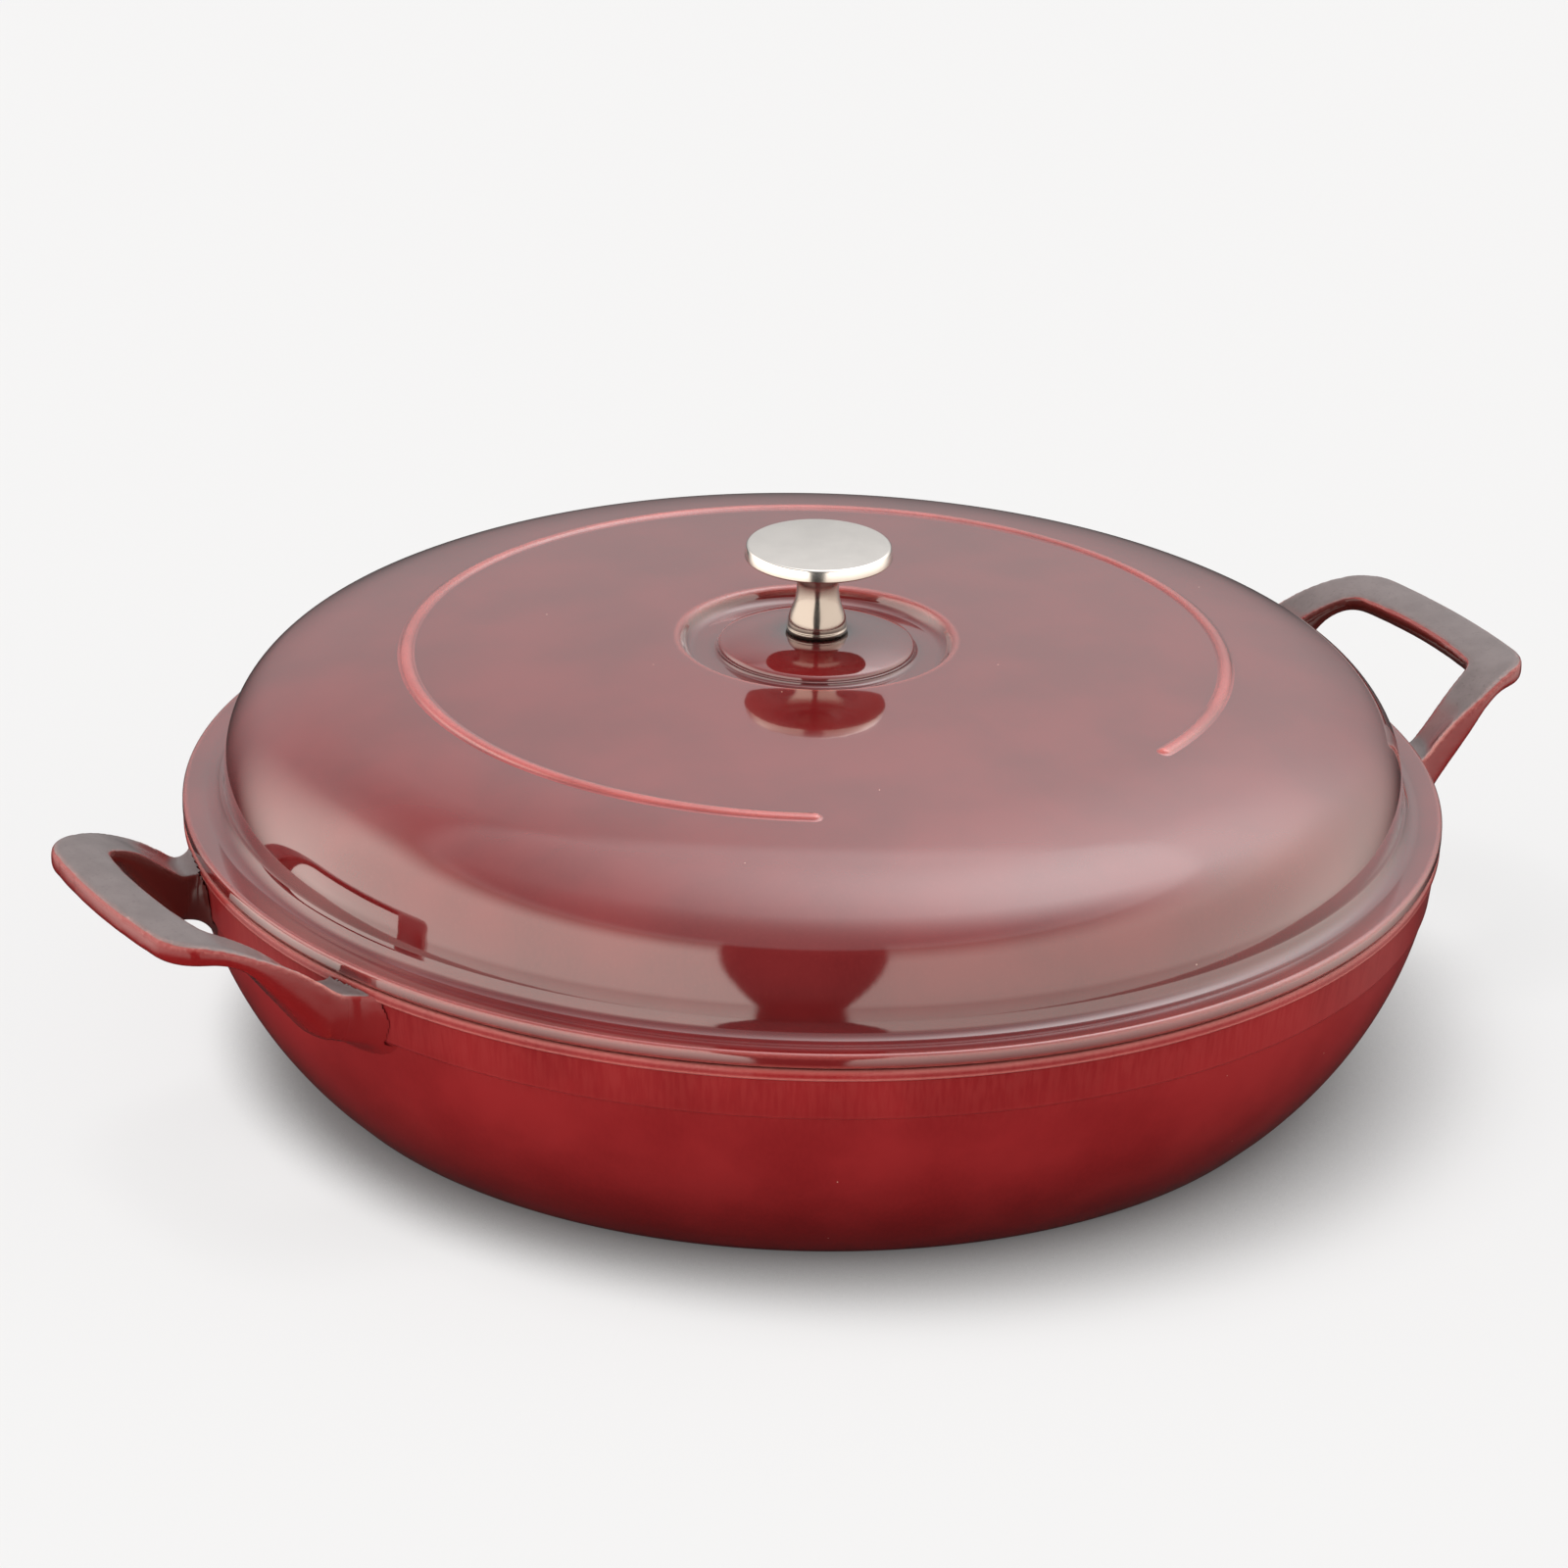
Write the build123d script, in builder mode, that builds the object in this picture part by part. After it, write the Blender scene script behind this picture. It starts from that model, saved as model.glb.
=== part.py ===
from build123d import *

import math
import os

# Enamelled cast-iron braiser: a shallow pot with two upswept loop handles cast onto it, a domed lid
# that drops onto the rim, and a turned knob that one screw holds to the lid from below.
# Units are millimetres. +Z is up and the pot stands on Z = 0 with its centre on the Z axis.
# The handles point along +X and -X, and the front, where the lid's ring is open, faces -Y.

# Pot: a bowl with a rounded belly and a slightly flared belt below the rim
rim_radius = 150.0
rim_height = 59.6
rim_width = 5.2
rim_outer_round = 1.4
rim_inner_round = 1.0
belt_drop = 13.0
belt_flare = 1.9
belt_step = 0.4
base_inset = 29.6
base_round = 2.0
belly_radius = 87.4
wall = 4.0
floor_thickness = 5.2
floor_round = 14.0
foot_ring_width = 9.0
foot_recess = 0.8

# Loop handle in plan, measured outwards from the rim
handle_reach = 38.4
handle_bow = 2.5
handle_half_width = 32.8
handle_corner_round = 12.0
leg_reach = 2.0
leg_half_width = 44.9
root_half_width = 59.0
root_inset = 2.5
opening_reach = 25.8
opening_bow = 2.3
opening_half_width = 24.7
opening_leg_reach = 8.0
opening_leg_half_width = 30.7
opening_root_half_width = 32.9
opening_corner_round = 5.5
handle_top_round = 1.2
handle_bottom_round = 2.0

# Loop handle from the side: a level root, a rising neck and a level grip
root_drop = 1.7
root_thickness = 13.8
neck_start = 1.2
neck_end = 20.3
neck_rise = 15.3
grip_rise = 14.3
grip_thickness = 6.0
under_start = 1.8
under_end = 20.5
neck_low_round = 6.0
neck_high_round = 40.0
under_low_round = 12.0
under_high_round = 12.0

# Lid: a flange on the rim, a steep wall, a shoulder of three tangent arcs and a shallow dome
seat_gap = 0.3
lid_overhang = 0.1
flange_thickness = 3.6
flange_dish = 0.5
flange_land = 5.6
flange_top_round = 1.4
flange_bottom_round = 1.1
cove_radius = 4.0
lid_wall_inset = 9.7
lid_wall_rise = 10.45
lid_thickness = 4.0
shoulder_radii = (20.7, 55.8, 127.0)
shoulder_turns = (59.4, 15.0, 9.5)
lip_clearance = 1.2
lip_width = 5.0
lip_depth = 4.5
lip_round = 1.2

# Ring on the lid: a fine raised arc, left open at the front
ring_inset = 52.95
ring_width = 2.8
ring_height = 0.75
ring_round = 0.6
ring_opening = 56.0
ring_opening_direction = -92.8

# Knob seat: a round trough in the dome with a low crowned pad inside it
trough_radius = 32.7
trough_depth = 4.0
trough_slope = 2.0
trough_edge_round = 1.6
trough_floor_round = 3.0
pad_radius = 23.4
pad_height = 0.95
pad_crown = 2.8
pad_edge_round = 0.7
pad_foot_round = 1.2
seat_radius = 9.0
boss_radius = 35.0
boss_thickness = 4.4
boss_round = 1.6

# Basting spikes, in rings of evenly spaced cones on the underside of the lid
spike_radius = 2.6
spike_tip_radius = 1.0
spike_height = 3.4
spike_root = 2.0
spike_foot = 0.8
spike_ring_inset = 58.0
spike_ring_pitch = 19.0
spike_ring_gap = 6.0
spike_spacing = 30.0

# Knob: a thin disc on a waisted stem with a narrow foot band
knob_radius = 17.6
knob_height = 21.8
knob_disc_thickness = 3.2
knob_disc_taper = 0.6
knob_top_round = 0.8
knob_bottom_round = 1.0
knob_under_rise = 0.8
knob_neck_radius = 8.8
knob_waist_radius = 5.2
knob_waist_height = 9.2
knob_flare_radius = 6.35
knob_flare_height = 4.6
knob_foot_radius = 7.15
knob_foot_height = 1.2
knob_foot_groove = 0.12

# Screw and washer under the lid
screw_radius = 2.95
screw_clearance = 0.35
thread_clearance = 0.05
screw_engagement = 9.0
screw_end_clearance = 2.0
screw_head_radius = 6.0
screw_head_height = 3.2
screw_head_round = 1.2
slot_width = 1.4
slot_depth = 1.5
washer_radius = 9.5
washer_thickness = 1.2
washer_round = 0.3

# Cutters run this far past what they cut
overrun = 5.0

os.makedirs("parts", exist_ok=True)

# The belly is one arc from the base to the belt; its centre follows from the arc's two ends
belt_height = rim_height - belt_drop
belt_radius = rim_radius - belt_flare
base_radius = rim_radius - base_inset
belly_start = Vector(base_radius, 0)
belly_end = Vector(belt_radius - belt_step, belt_height)
belly_chord = belly_end - belly_start
belly_sagitta = math.sqrt(belly_radius**2 - (belly_chord.length / 2) ** 2)
belly_centre = (belly_start + belly_end) / 2 + belly_chord.normalized().rotate(Axis.Z, 90) * belly_sagitta


def belly_point(radius, height):
    """Point at one height on the outer side of a circle about the belly's centre."""
    return (belly_centre.X + math.sqrt(radius**2 - (height - belly_centre.Y) ** 2), height)


def round_corner(profile, point, radius):
    """Round the corner of a profile that lies nearest to a point."""
    fillet(profile.vertices().sort_by_distance(point)[0], radius=radius)


with BuildPart() as bowl:
    with BuildSketch(Plane.XZ) as bowl_profile:
        with BuildLine():
            belly = ThreePointArc(
                belly_point(belly_radius, 0),
                belly_point(belly_radius, belt_height / 2),
                belly_point(belly_radius, belt_height),
            )
            Polyline(
                belly @ 1,
                (belt_radius, belt_height + belt_step),
                (rim_radius, rim_height),
                (0, rim_height),
                (0, foot_recess),
                (base_radius - foot_ring_width, foot_recess),
                (base_radius - foot_ring_width - foot_recess, 0),
                belly @ 0,
            )
        make_face()
        round_corner(bowl_profile, (rim_radius, rim_height), rim_outer_round)
        round_corner(bowl_profile, (base_radius, 0), base_round)
    revolve(axis=Axis.Z)

# Loop handle: its plan outline, cut to the side outline of root, neck and grip
handle_end = rim_radius + handle_reach
opening_end = rim_radius + opening_reach
rim_inner_radius = rim_radius - rim_width
root_radius = rim_radius - root_inset
root_top = rim_height - root_drop
root_bottom = root_top - root_thickness
grip_top = rim_height + grip_rise
grip_bottom = grip_top - grip_thickness

# Each leg leaves the wall along it: its root lies on a circle just inside the wall's surface
root_reach = math.sqrt(root_radius**2 - root_half_width**2)

with BuildPart() as handle:
    with BuildSketch(Plane.XY) as handle_plan:
        with BuildLine() as handle_outline:
            root = TangentArc(
                (root_reach, -root_half_width),
                (rim_radius + leg_reach, -leg_half_width),
                tangent=(root_half_width, root_reach),
            )
            leg = TangentArc(
                root @ 1,
                (handle_end - handle_bow, -handle_half_width),
                tangent=root % 1,
            )
            Line(root @ 0, (root_reach - rim_width, -root_half_width))
            mirror(about=Plane.XZ)
            ThreePointArc(leg @ 1, (handle_end, 0), (handle_end - handle_bow, handle_half_width))
            Line(
                (root_reach - rim_width, -root_half_width),
                (root_reach - rim_width, root_half_width),
            )
        make_face()
        fillet(handle_plan.vertices().group_by(Axis.X)[-1], radius=handle_corner_round)
    extrude(amount=grip_top)

    with BuildSketch(Plane.XZ):
        with BuildLine():
            top = FilletPolyline(
                (root_reach - overrun * 2, root_top),
                (rim_radius + neck_start, root_top),
                (rim_radius + neck_end, root_top + neck_rise),
                (handle_end + overrun, grip_top),
                radius=(neck_low_round, neck_high_round),
            )
            under = FilletPolyline(
                (root_reach - overrun * 2, root_bottom),
                (rim_radius + under_start, root_bottom),
                (rim_radius + under_end, grip_bottom),
                (handle_end + overrun, grip_bottom),
                radius=(under_low_round, under_high_round),
            )
            Line(top @ 0, under @ 0)
            Line(top @ 1, under @ 1)
        make_face()
    extrude(amount=2 * root_half_width, both=True, mode=Mode.INTERSECT)

    with BuildSketch(Plane.XY) as opening_plan:
        with BuildLine():
            inner_leg = ThreePointArc(
                (rim_inner_radius, -opening_root_half_width),
                (rim_radius + opening_leg_reach, -opening_leg_half_width),
                (opening_end - opening_bow, -opening_half_width),
            )
            mirror(about=Plane.XZ)
            ThreePointArc(
                inner_leg @ 1,
                (opening_end, 0),
                (opening_end - opening_bow, opening_half_width),
            )
            Line(inner_leg @ 0, (rim_inner_radius, opening_root_half_width))
        make_face()
        fillet(opening_plan.vertices().group_by(Axis.X)[-1], radius=opening_corner_round)
    extrude(amount=grip_top, mode=Mode.SUBTRACT)

    outer_face = handle.faces().sort_by(Axis.X)[-1]
    inner_face = handle.faces().filter_by_position(
        Axis.X, opening_end - opening_bow, opening_end + opening_bow
    )[0]
    grip_faces = (outer_face, inner_face)
    fillet([face.edges().sort_by(Axis.Z)[-1] for face in grip_faces], radius=handle_top_round)
    outer_face = handle.faces().sort_by(Axis.X)[-1]
    inner_face = handle.faces().filter_by_position(
        Axis.X, opening_end - opening_bow, opening_end + opening_bow
    )[0]
    grip_faces = (outer_face, inner_face)
    fillet([face.edges().sort_by(Axis.Z)[0] for face in grip_faces], radius=handle_bottom_round)

# Pot: bowl and both handles in one casting, hollowed last so that the handle roots end at the wall
floor_corner = belly_point(belly_radius - wall, floor_thickness)
inner_belt = belly_point(belly_radius - wall, belt_height)

with BuildPart() as pot:
    add(bowl.part)
    add(handle.part)
    mirror(handle.part, about=Plane.YZ)
    with BuildSketch(Plane.XZ) as cavity_profile:
        with BuildLine():
            side = ThreePointArc(
                floor_corner,
                belly_point(belly_radius - wall, belt_height / 2),
                inner_belt,
            )
            lead_in = TangentArc(
                (rim_inner_radius, rim_height - rim_inner_round),
                (rim_inner_radius + rim_inner_round, rim_height),
                tangent=(0, 1),
            )
            Line(side @ 1, lead_in @ 0)
            Polyline(
                lead_in @ 1,
                (rim_inner_radius + rim_inner_round, rim_height + overrun),
                (0, rim_height + overrun),
                (0, floor_thickness),
                side @ 0,
            )
        make_face()
        round_corner(cavity_profile, floor_corner, floor_round)
    revolve(axis=Axis.Z, mode=Mode.SUBTRACT)

pot.part.label = "pot"

# Lid: the outer line runs from the flange up the wall and over the shoulder to the dome's crown
flange_radius = rim_radius + lid_overhang
flange_bottom = rim_height + seat_gap
flange_top = flange_bottom + flange_thickness
lid_wall_radius = rim_radius - lid_wall_inset
shoulder_foot = rim_height + lid_wall_rise
crown_turn = 90 - sum(shoulder_turns)
lip_outer_radius = rim_inner_radius - lip_clearance
lip_inner_radius = lip_outer_radius - lip_width
lip_bottom = flange_bottom - lip_depth
valley_height = flange_top - flange_dish

with BuildPart() as lid:
    with BuildSketch(Plane.XZ) as lid_section:
        # Domed shell of even thickness
        with BuildLine():
            run = Line((lid_wall_radius, flange_bottom), (lid_wall_radius, shoulder_foot))
            for radius, turn in zip(shoulder_radii, shoulder_turns):
                run = JernArc(start=run @ 1, tangent=run % 1, radius=radius, arc_size=turn)
            dome_radius = (run @ 1).X / math.sin(math.radians(crown_turn))
            crown = JernArc(start=run @ 1, tangent=run % 1, radius=dome_radius, arc_size=crown_turn)
            offset(amount=lid_thickness, side=Side.LEFT)
        make_face()

        # Dished flange with a cove up to the wall, and the locating lip that drops inside the rim
        with BuildLine():
            cove = RadiusArc(
                (lid_wall_radius, valley_height + cove_radius),
                (lid_wall_radius + cove_radius, valley_height),
                -cove_radius,
            )
            Polyline(
                cove @ 1,
                (flange_radius - flange_land, valley_height),
                (flange_radius, flange_top),
                (flange_radius, flange_bottom),
                (lip_outer_radius, flange_bottom),
                (lip_outer_radius, lip_bottom),
                (lip_inner_radius, lip_bottom),
                (lip_inner_radius, valley_height + cove_radius),
                cove @ 0,
            )
        make_face()

        # Boss under the crown and a round trough in the dome above it
        crown_height = (crown @ 1).Y
        trough_height = crown_height - trough_depth
        boss_height = trough_height - boss_thickness
        with BuildLine():
            Polyline(
                (0, boss_height),
                (boss_radius, boss_height),
                (boss_radius, crown_height - lid_thickness / 2),
                (0, crown_height - lid_thickness / 2),
                close=True,
            )
        make_face()
        with BuildLine():
            Polyline(
                (0, trough_height),
                (trough_radius - trough_slope, trough_height),
                (trough_radius, crown_height),
                (trough_radius, crown_height + overrun),
                (0, crown_height + overrun),
                close=True,
            )
        make_face(mode=Mode.SUBTRACT)

        # Crowned pad in the trough, level where the knob stands
        seat_height = crown_height + pad_height
        with BuildLine():
            pad_top = TangentArc(
                (seat_radius, seat_height),
                (pad_radius, seat_height - pad_crown),
                tangent=(1, 0),
            )
            Polyline(
                pad_top @ 1,
                (pad_radius, trough_height),
                (0, trough_height),
                (0, seat_height),
                pad_top @ 0,
            )
        make_face()

        round_corner(lid_section, (flange_radius, flange_top), flange_top_round)
        round_corner(lid_section, (flange_radius, flange_bottom), flange_bottom_round)
        round_corner(lid_section, (lip_outer_radius, lip_bottom), lip_round)
        round_corner(lid_section, (lip_inner_radius, lip_bottom), lip_round)
        round_corner(lid_section, (boss_radius, boss_height), boss_round)
        round_corner(lid_section, (boss_radius, crown_height - lid_thickness), boss_round)
        round_corner(lid_section, (trough_radius, crown_height), trough_edge_round)
        round_corner(lid_section, (trough_radius - trough_slope, trough_height), trough_floor_round)
        round_corner(lid_section, pad_top @ 1, pad_edge_round)
        round_corner(lid_section, (pad_radius, trough_height), pad_foot_round)
    revolve(axis=Axis.Z)

# Ring: a slot outline bent round the crown, its ends and top edges rounded
ring_radius = rim_radius - ring_inset
ring_surface = crown_height - dome_radius + math.sqrt(dome_radius**2 - ring_radius**2)
with BuildPart() as ring:
    with BuildSketch(Plane.XY.offset(ring_surface - ring_height)):
        ring_start = ring_opening_direction + ring_opening / 2
        SlotArc(CenterArc((0, 0), ring_radius, ring_start, 360 - ring_opening), ring_width)
    extrude(amount=2 * ring_height)
    fillet(ring.edges().group_by(Axis.Z)[-1], radius=ring_round)

# Spike: a short round foot and a blunt cone that points down, with its root above Z = 0
with BuildPart() as spike:
    with BuildSketch(Plane.XZ):
        with BuildLine():
            Polyline(
                (0, spike_root),
                (spike_radius, spike_root),
                (spike_radius, -spike_foot),
                (spike_tip_radius, -spike_height),
                (0, -spike_height),
                close=True,
            )
        make_face()
    revolve(axis=Axis.Z)

# Finished lid: the ring on top, and rings of spikes that stand square to the dome inside it
dome_centre_height = crown_height - dome_radius
dome_inner_radius = dome_radius - lid_thickness
spike_ring_radius = rim_radius - spike_ring_inset
spike_ring_span = spike_ring_radius - boss_radius - spike_ring_gap
with BuildPart() as finished_lid:
    add(lid.part)
    add(ring.part)
    for ring_index in range(1 + int(spike_ring_span / spike_ring_pitch)):
        radius = spike_ring_radius - ring_index * spike_ring_pitch
        count = round(math.tau * radius / spike_spacing)
        tilt = math.degrees(math.asin(radius / dome_inner_radius))
        with Locations((0, 0, dome_centre_height)):
            with PolarLocations(0, count):
                with Locations(Rotation(0, tilt, 0) * Pos(0, 0, dome_inner_radius)):
                    add(spike.part)
    with Locations((0, 0, seat_height)):
        Hole(screw_radius + screw_clearance)

finished_lid.part.label = "lid"

# Knob: turned about the axis, with a threaded hole up its stem
knob_top = seat_height + knob_height
disc_bottom = knob_top - knob_disc_thickness
with BuildPart() as knob:
    with BuildSketch(Plane.XZ) as knob_profile:
        with BuildLine():
            stem = Spline(
                (knob_foot_radius - knob_foot_groove, seat_height + knob_foot_height),
                (knob_flare_radius, seat_height + knob_flare_height),
                (knob_waist_radius, seat_height + knob_waist_height),
                (knob_neck_radius, disc_bottom - knob_under_rise),
                tangents=((-knob_foot_groove, knob_foot_height), (1, 0)),
            )
            Polyline(
                stem @ 1,
                (knob_radius - knob_disc_taper, disc_bottom),
                (knob_radius, knob_top),
                (0, knob_top),
                (0, seat_height),
                (knob_foot_radius, seat_height),
                (knob_foot_radius, seat_height + knob_foot_height),
                stem @ 0,
            )
        make_face()
        round_corner(knob_profile, (knob_radius, knob_top), knob_top_round)
        round_corner(knob_profile, (knob_radius - knob_disc_taper, disc_bottom), knob_bottom_round)
    revolve(axis=Axis.Z)
    with BuildSketch(Plane.XY.offset(seat_height)):
        Circle(screw_radius + thread_clearance)
    extrude(amount=screw_engagement + screw_end_clearance, mode=Mode.SUBTRACT)

knob.part.label = "knob"

# Washer against the boss, and the screw that comes up through it, the lid and the knob
with BuildPart() as washer:
    with BuildSketch(Plane.XY.offset(boss_height - washer_thickness)):
        Circle(washer_radius)
        Circle(screw_radius + screw_clearance, mode=Mode.SUBTRACT)
    extrude(amount=washer_thickness)
    fillet(washer.edges().group_by(Axis.Z)[0].sort_by(SortBy.RADIUS)[-1], radius=washer_round)

washer.part.label = "screw_washer"

head_top = boss_height - washer_thickness
with BuildPart() as screw:
    with BuildSketch(Plane.XY.offset(head_top - screw_head_height)):
        Circle(screw_head_radius)
    extrude(amount=screw_head_height)
    fillet(screw.edges().group_by(Axis.Z)[0], radius=screw_head_round)
    with BuildSketch(Plane.XY.offset(head_top)):
        Circle(screw_radius)
    extrude(amount=washer_thickness + seat_height - boss_height + screw_engagement)
    with BuildSketch(Plane.XY.offset(head_top - screw_head_height)):
        Rectangle(2 * screw_head_radius, slot_width)
    extrude(amount=slot_depth, mode=Mode.SUBTRACT)

screw.part.label = "knob_screw"

export_step(pot.part, "parts/pot.step")
export_step(finished_lid.part, "parts/lid.step")
export_step(knob.part, "parts/knob.step")
export_step(washer.part, "parts/screw_washer.step")
export_step(screw.part, "parts/knob_screw.step")
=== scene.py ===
import logging
import math
from collections.abc import Sequence
from dataclasses import dataclass
from enum import Enum
from typing import Union

import bmesh
import bpy
from mathutils import Matrix, Vector


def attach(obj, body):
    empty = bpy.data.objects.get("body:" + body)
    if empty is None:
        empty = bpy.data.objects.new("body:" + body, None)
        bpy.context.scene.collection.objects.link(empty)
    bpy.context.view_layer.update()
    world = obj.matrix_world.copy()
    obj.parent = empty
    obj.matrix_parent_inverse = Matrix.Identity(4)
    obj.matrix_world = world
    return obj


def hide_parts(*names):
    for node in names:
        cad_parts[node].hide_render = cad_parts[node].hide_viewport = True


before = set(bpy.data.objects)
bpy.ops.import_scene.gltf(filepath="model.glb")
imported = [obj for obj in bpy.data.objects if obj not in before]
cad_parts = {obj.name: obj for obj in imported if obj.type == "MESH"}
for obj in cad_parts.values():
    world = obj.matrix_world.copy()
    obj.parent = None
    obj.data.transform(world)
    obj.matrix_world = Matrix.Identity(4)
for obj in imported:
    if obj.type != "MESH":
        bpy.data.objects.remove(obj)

# Enamelled cast-iron braiser. The drawn sizes are millimetres, as in the CAD part, and MM turns
# them into the scene's metres. Heights are above the table, radii from the upright centre line.

MM = 0.001
logging.basicConfig(level=logging.INFO, format="%(levelname)s %(message)s")
log = logging.getLogger("braiser")

Point = tuple[float, float]
Point3 = tuple[float, float, float]
Colour = tuple[float, float, float]

# A corner of a line is its radius, its height and the size of its round, 0 where it is sharp
Corner = tuple[float, float, float]

# A span is two ends, of what a fade reads or of what it gives
Span = tuple[float, float]

Socket = bpy.types.NodeSocket
Value = Union[Socket, float, tuple[float, ...]]
Feeds = dict[Union[str, int], Value]
Chain = list[Union[bmesh.types.BMVert, bmesh.types.BMEdge]]

FALLING: Span = (1.0, 0.0)

# Where the soft clouds and the fine grain of a noise begin and end
CLOUD_RANGE: Span = (0.3, 0.7)
GRAIN_RANGE: Span = (0.35, 0.65)

# Layers of a noise
SOFT = 2.0
MEDIUM = 3.0
FINE = 4.0

# Rays that look for a material's edges and hollows
EDGE_SAMPLES = 4


class Body(Enum):
    """The bodies that a piece can ride on."""

    POT = "pot"
    LID = "lid"


class Slot(Enum):
    """The record's material slots, by name."""

    POT = "pot_enamel"
    LID = "lid_enamel"
    KNOB = "knob_metal"


# Lines and turned shapes


def arc_points(centre: Point, radius: float, start: float, turn: float, steps: int) -> list[Point]:
    """Sample a circular arc in the plane of radius and height.

    Args:
        centre: Centre of the arc.
        radius: Radius of the arc.
        start: Direction of the first point from the centre, in degrees.
        turn: Angle swept from there, in degrees, anticlockwise if positive.
        steps: Number of equal parts.

    Returns:
        The steps + 1 points, ends included.
    """
    points = []
    for step in range(steps + 1):
        angle = math.radians(start + turn * step / steps)
        points.append((centre[0] + radius * math.cos(angle), centre[1] + radius * math.sin(angle)))
    return points


def rounded_corner(
    before: Point, corner: Point, after: Point, radius: float, steps: int
) -> list[Point]:
    """Replace one corner of a line by an arc that touches both of its sides.

    Args:
        before: A point on the side that comes in.
        corner: The sharp corner.
        after: A point on the side that goes out.
        radius: Radius of the round.
        steps: Number of parts of the arc.

    Returns:
        The points of the arc, ends included.
    """
    corner_at = Vector(corner)
    side_in = (Vector(before) - corner_at).normalized()
    side_out = (Vector(after) - corner_at).normalized()
    half = math.acos(max(-1.0, min(1.0, side_in.dot(side_out)))) / 2
    centre = corner_at + (side_in + side_out).normalized() * (radius / math.sin(half))
    first = corner_at + side_in * (radius / math.tan(half)) - centre
    last = corner_at + side_out * (radius / math.tan(half)) - centre
    start = math.degrees(math.atan2(first.y, first.x))
    turn = math.degrees(math.atan2(first.x * last.y - first.y * last.x, first.dot(last)))
    return arc_points((centre.x, centre.y), radius, start, turn, steps)


def rounded_line(corners: list[Corner], steps: int = 6) -> list[Point]:
    """Draw a line through corners, some of them rounded.

    Args:
        corners: The corners, in the line's order.
        steps: Number of parts of each round.

    Returns:
        The points of the line.
    """
    points: list[Point] = []
    for index, (across, height, size) in enumerate(corners):
        if size and 0 < index < len(corners) - 1:
            before = corners[index - 1][:2]
            after = corners[index + 1][:2]
            points += rounded_corner(before, (across, height), after, size, steps)
        else:
            points.append((across, height))
    return points


def line_height(line: list[Point], across: float) -> float:
    """Read the height of a line at one radius.

    Args:
        line: Points of the line in order of radius, either way.
        across: Radius at which the height is wanted.

    Returns:
        The height there, between the two nearest points.
    """
    for (r0, z0), (r1, z1) in zip(line, line[1:]):
        if min(r0, r1) <= across <= max(r0, r1) and r0 != r1:
            return z0 + (z1 - z0) * (across - r0) / (r1 - r0)
    return line[-1][1]


def lengthen(line: list[Point], more: list[Point]) -> None:
    """Add the points of a second line to a first, and the point where they meet only once."""
    line += more[1:] if line else more


def ramp(value: float, start: float, end: float) -> float:
    """Turn a range of numbers smoothly into 0 to 1.

    Args:
        value: The number to read.
        start: Number that gives 0.
        end: Number that gives 1, above or below the other.

    Returns:
        The share, eased at both ends.
    """
    share = min(1.0, max(0.0, (value - start) / (end - start)))
    return share * share * (3 - 2 * share)


def draw_chain(mesh: bmesh.types.BMesh, places: Sequence[Sequence[float]]) -> Chain:
    """Draw points in metres and the edges between them, and hand over both."""
    verts = [mesh.verts.new(place) for place in places]
    return verts + [mesh.edges.new(pair) for pair in zip(verts, verts[1:])]


def relax(mesh: bmesh.types.BMesh, verts: Sequence[bmesh.types.BMVert], rounds: int) -> None:
    """Even out part of a mesh, each point half way to the middle of its neighbours a round."""
    axes = {"use_axis_x": True, "use_axis_y": True, "use_axis_z": True}
    for _ in range(rounds):
        bmesh.ops.smooth_vert(mesh, verts=verts, factor=0.5, **axes)


def pull_in(vert: bmesh.types.BMVert, depth: float) -> None:
    """Move a point towards the upright axis by a depth in millimetres."""
    across = Vector((vert.co.x, vert.co.y, 0.0)).normalized()
    vert.co -= across * (depth * MM)


@dataclass
class Turning:
    """A mesh that is turned about the Z axis from one or more lines, each in its own material."""

    name: str
    sectors: int = 15
    sector_steps: int = 24
    weld: float = 0.0005

    def __post_init__(self) -> None:
        """Start with an empty mesh."""
        self.mesh = bmesh.new()

    def add_line(self, line: list[Point], material: int = 0) -> None:
        """Spin one line all the way round.

        Args:
            line: Points of radius and height, in millimetres.
            material: Place of the line's material among the piece's slots.
        """
        sector = bmesh.new()
        chain = draw_chain(sector, [(across * MM, 0, height * MM) for across, height in line])
        angle = math.tau / self.sectors
        bmesh.ops.spin(sector, geom=chain, axis=(0, 0, 1), angle=angle, steps=self.sector_steps)
        for face in sector.faces:
            face.material_index = material
        data = bpy.data.meshes.new("sector")
        turn = Matrix.Rotation(angle, 3, "Z")
        for _ in range(self.sectors):
            bmesh.ops.rotate(sector, verts=sector.verts, matrix=turn)
            sector.to_mesh(data)
            self.mesh.from_mesh(data)
        sector.free()
        bpy.data.meshes.remove(data)

    def finish(self) -> bpy.types.Object:
        """Close the seams, turn the faces outwards and make the object."""
        bmesh.ops.remove_doubles(self.mesh, verts=self.mesh.verts, dist=self.weld * MM)
        bmesh.ops.recalc_face_normals(self.mesh, faces=self.mesh.faces)
        return make_object(self.name, self.mesh)


def make_object(name: str, mesh: bmesh.types.BMesh) -> bpy.types.Object:
    """Turn a finished bmesh into a smooth-shaded object at the origin.

    Args:
        name: Name of the piece.
        mesh: Its mesh, which is freed.

    Returns:
        The new object.
    """
    for face in mesh.faces:
        face.smooth = True
    data = bpy.data.meshes.new(name)
    mesh.to_mesh(data)
    mesh.free()
    piece = bpy.data.objects.new(name, data)
    bpy.context.scene.collection.objects.link(piece)
    return piece


# Finishes


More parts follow.
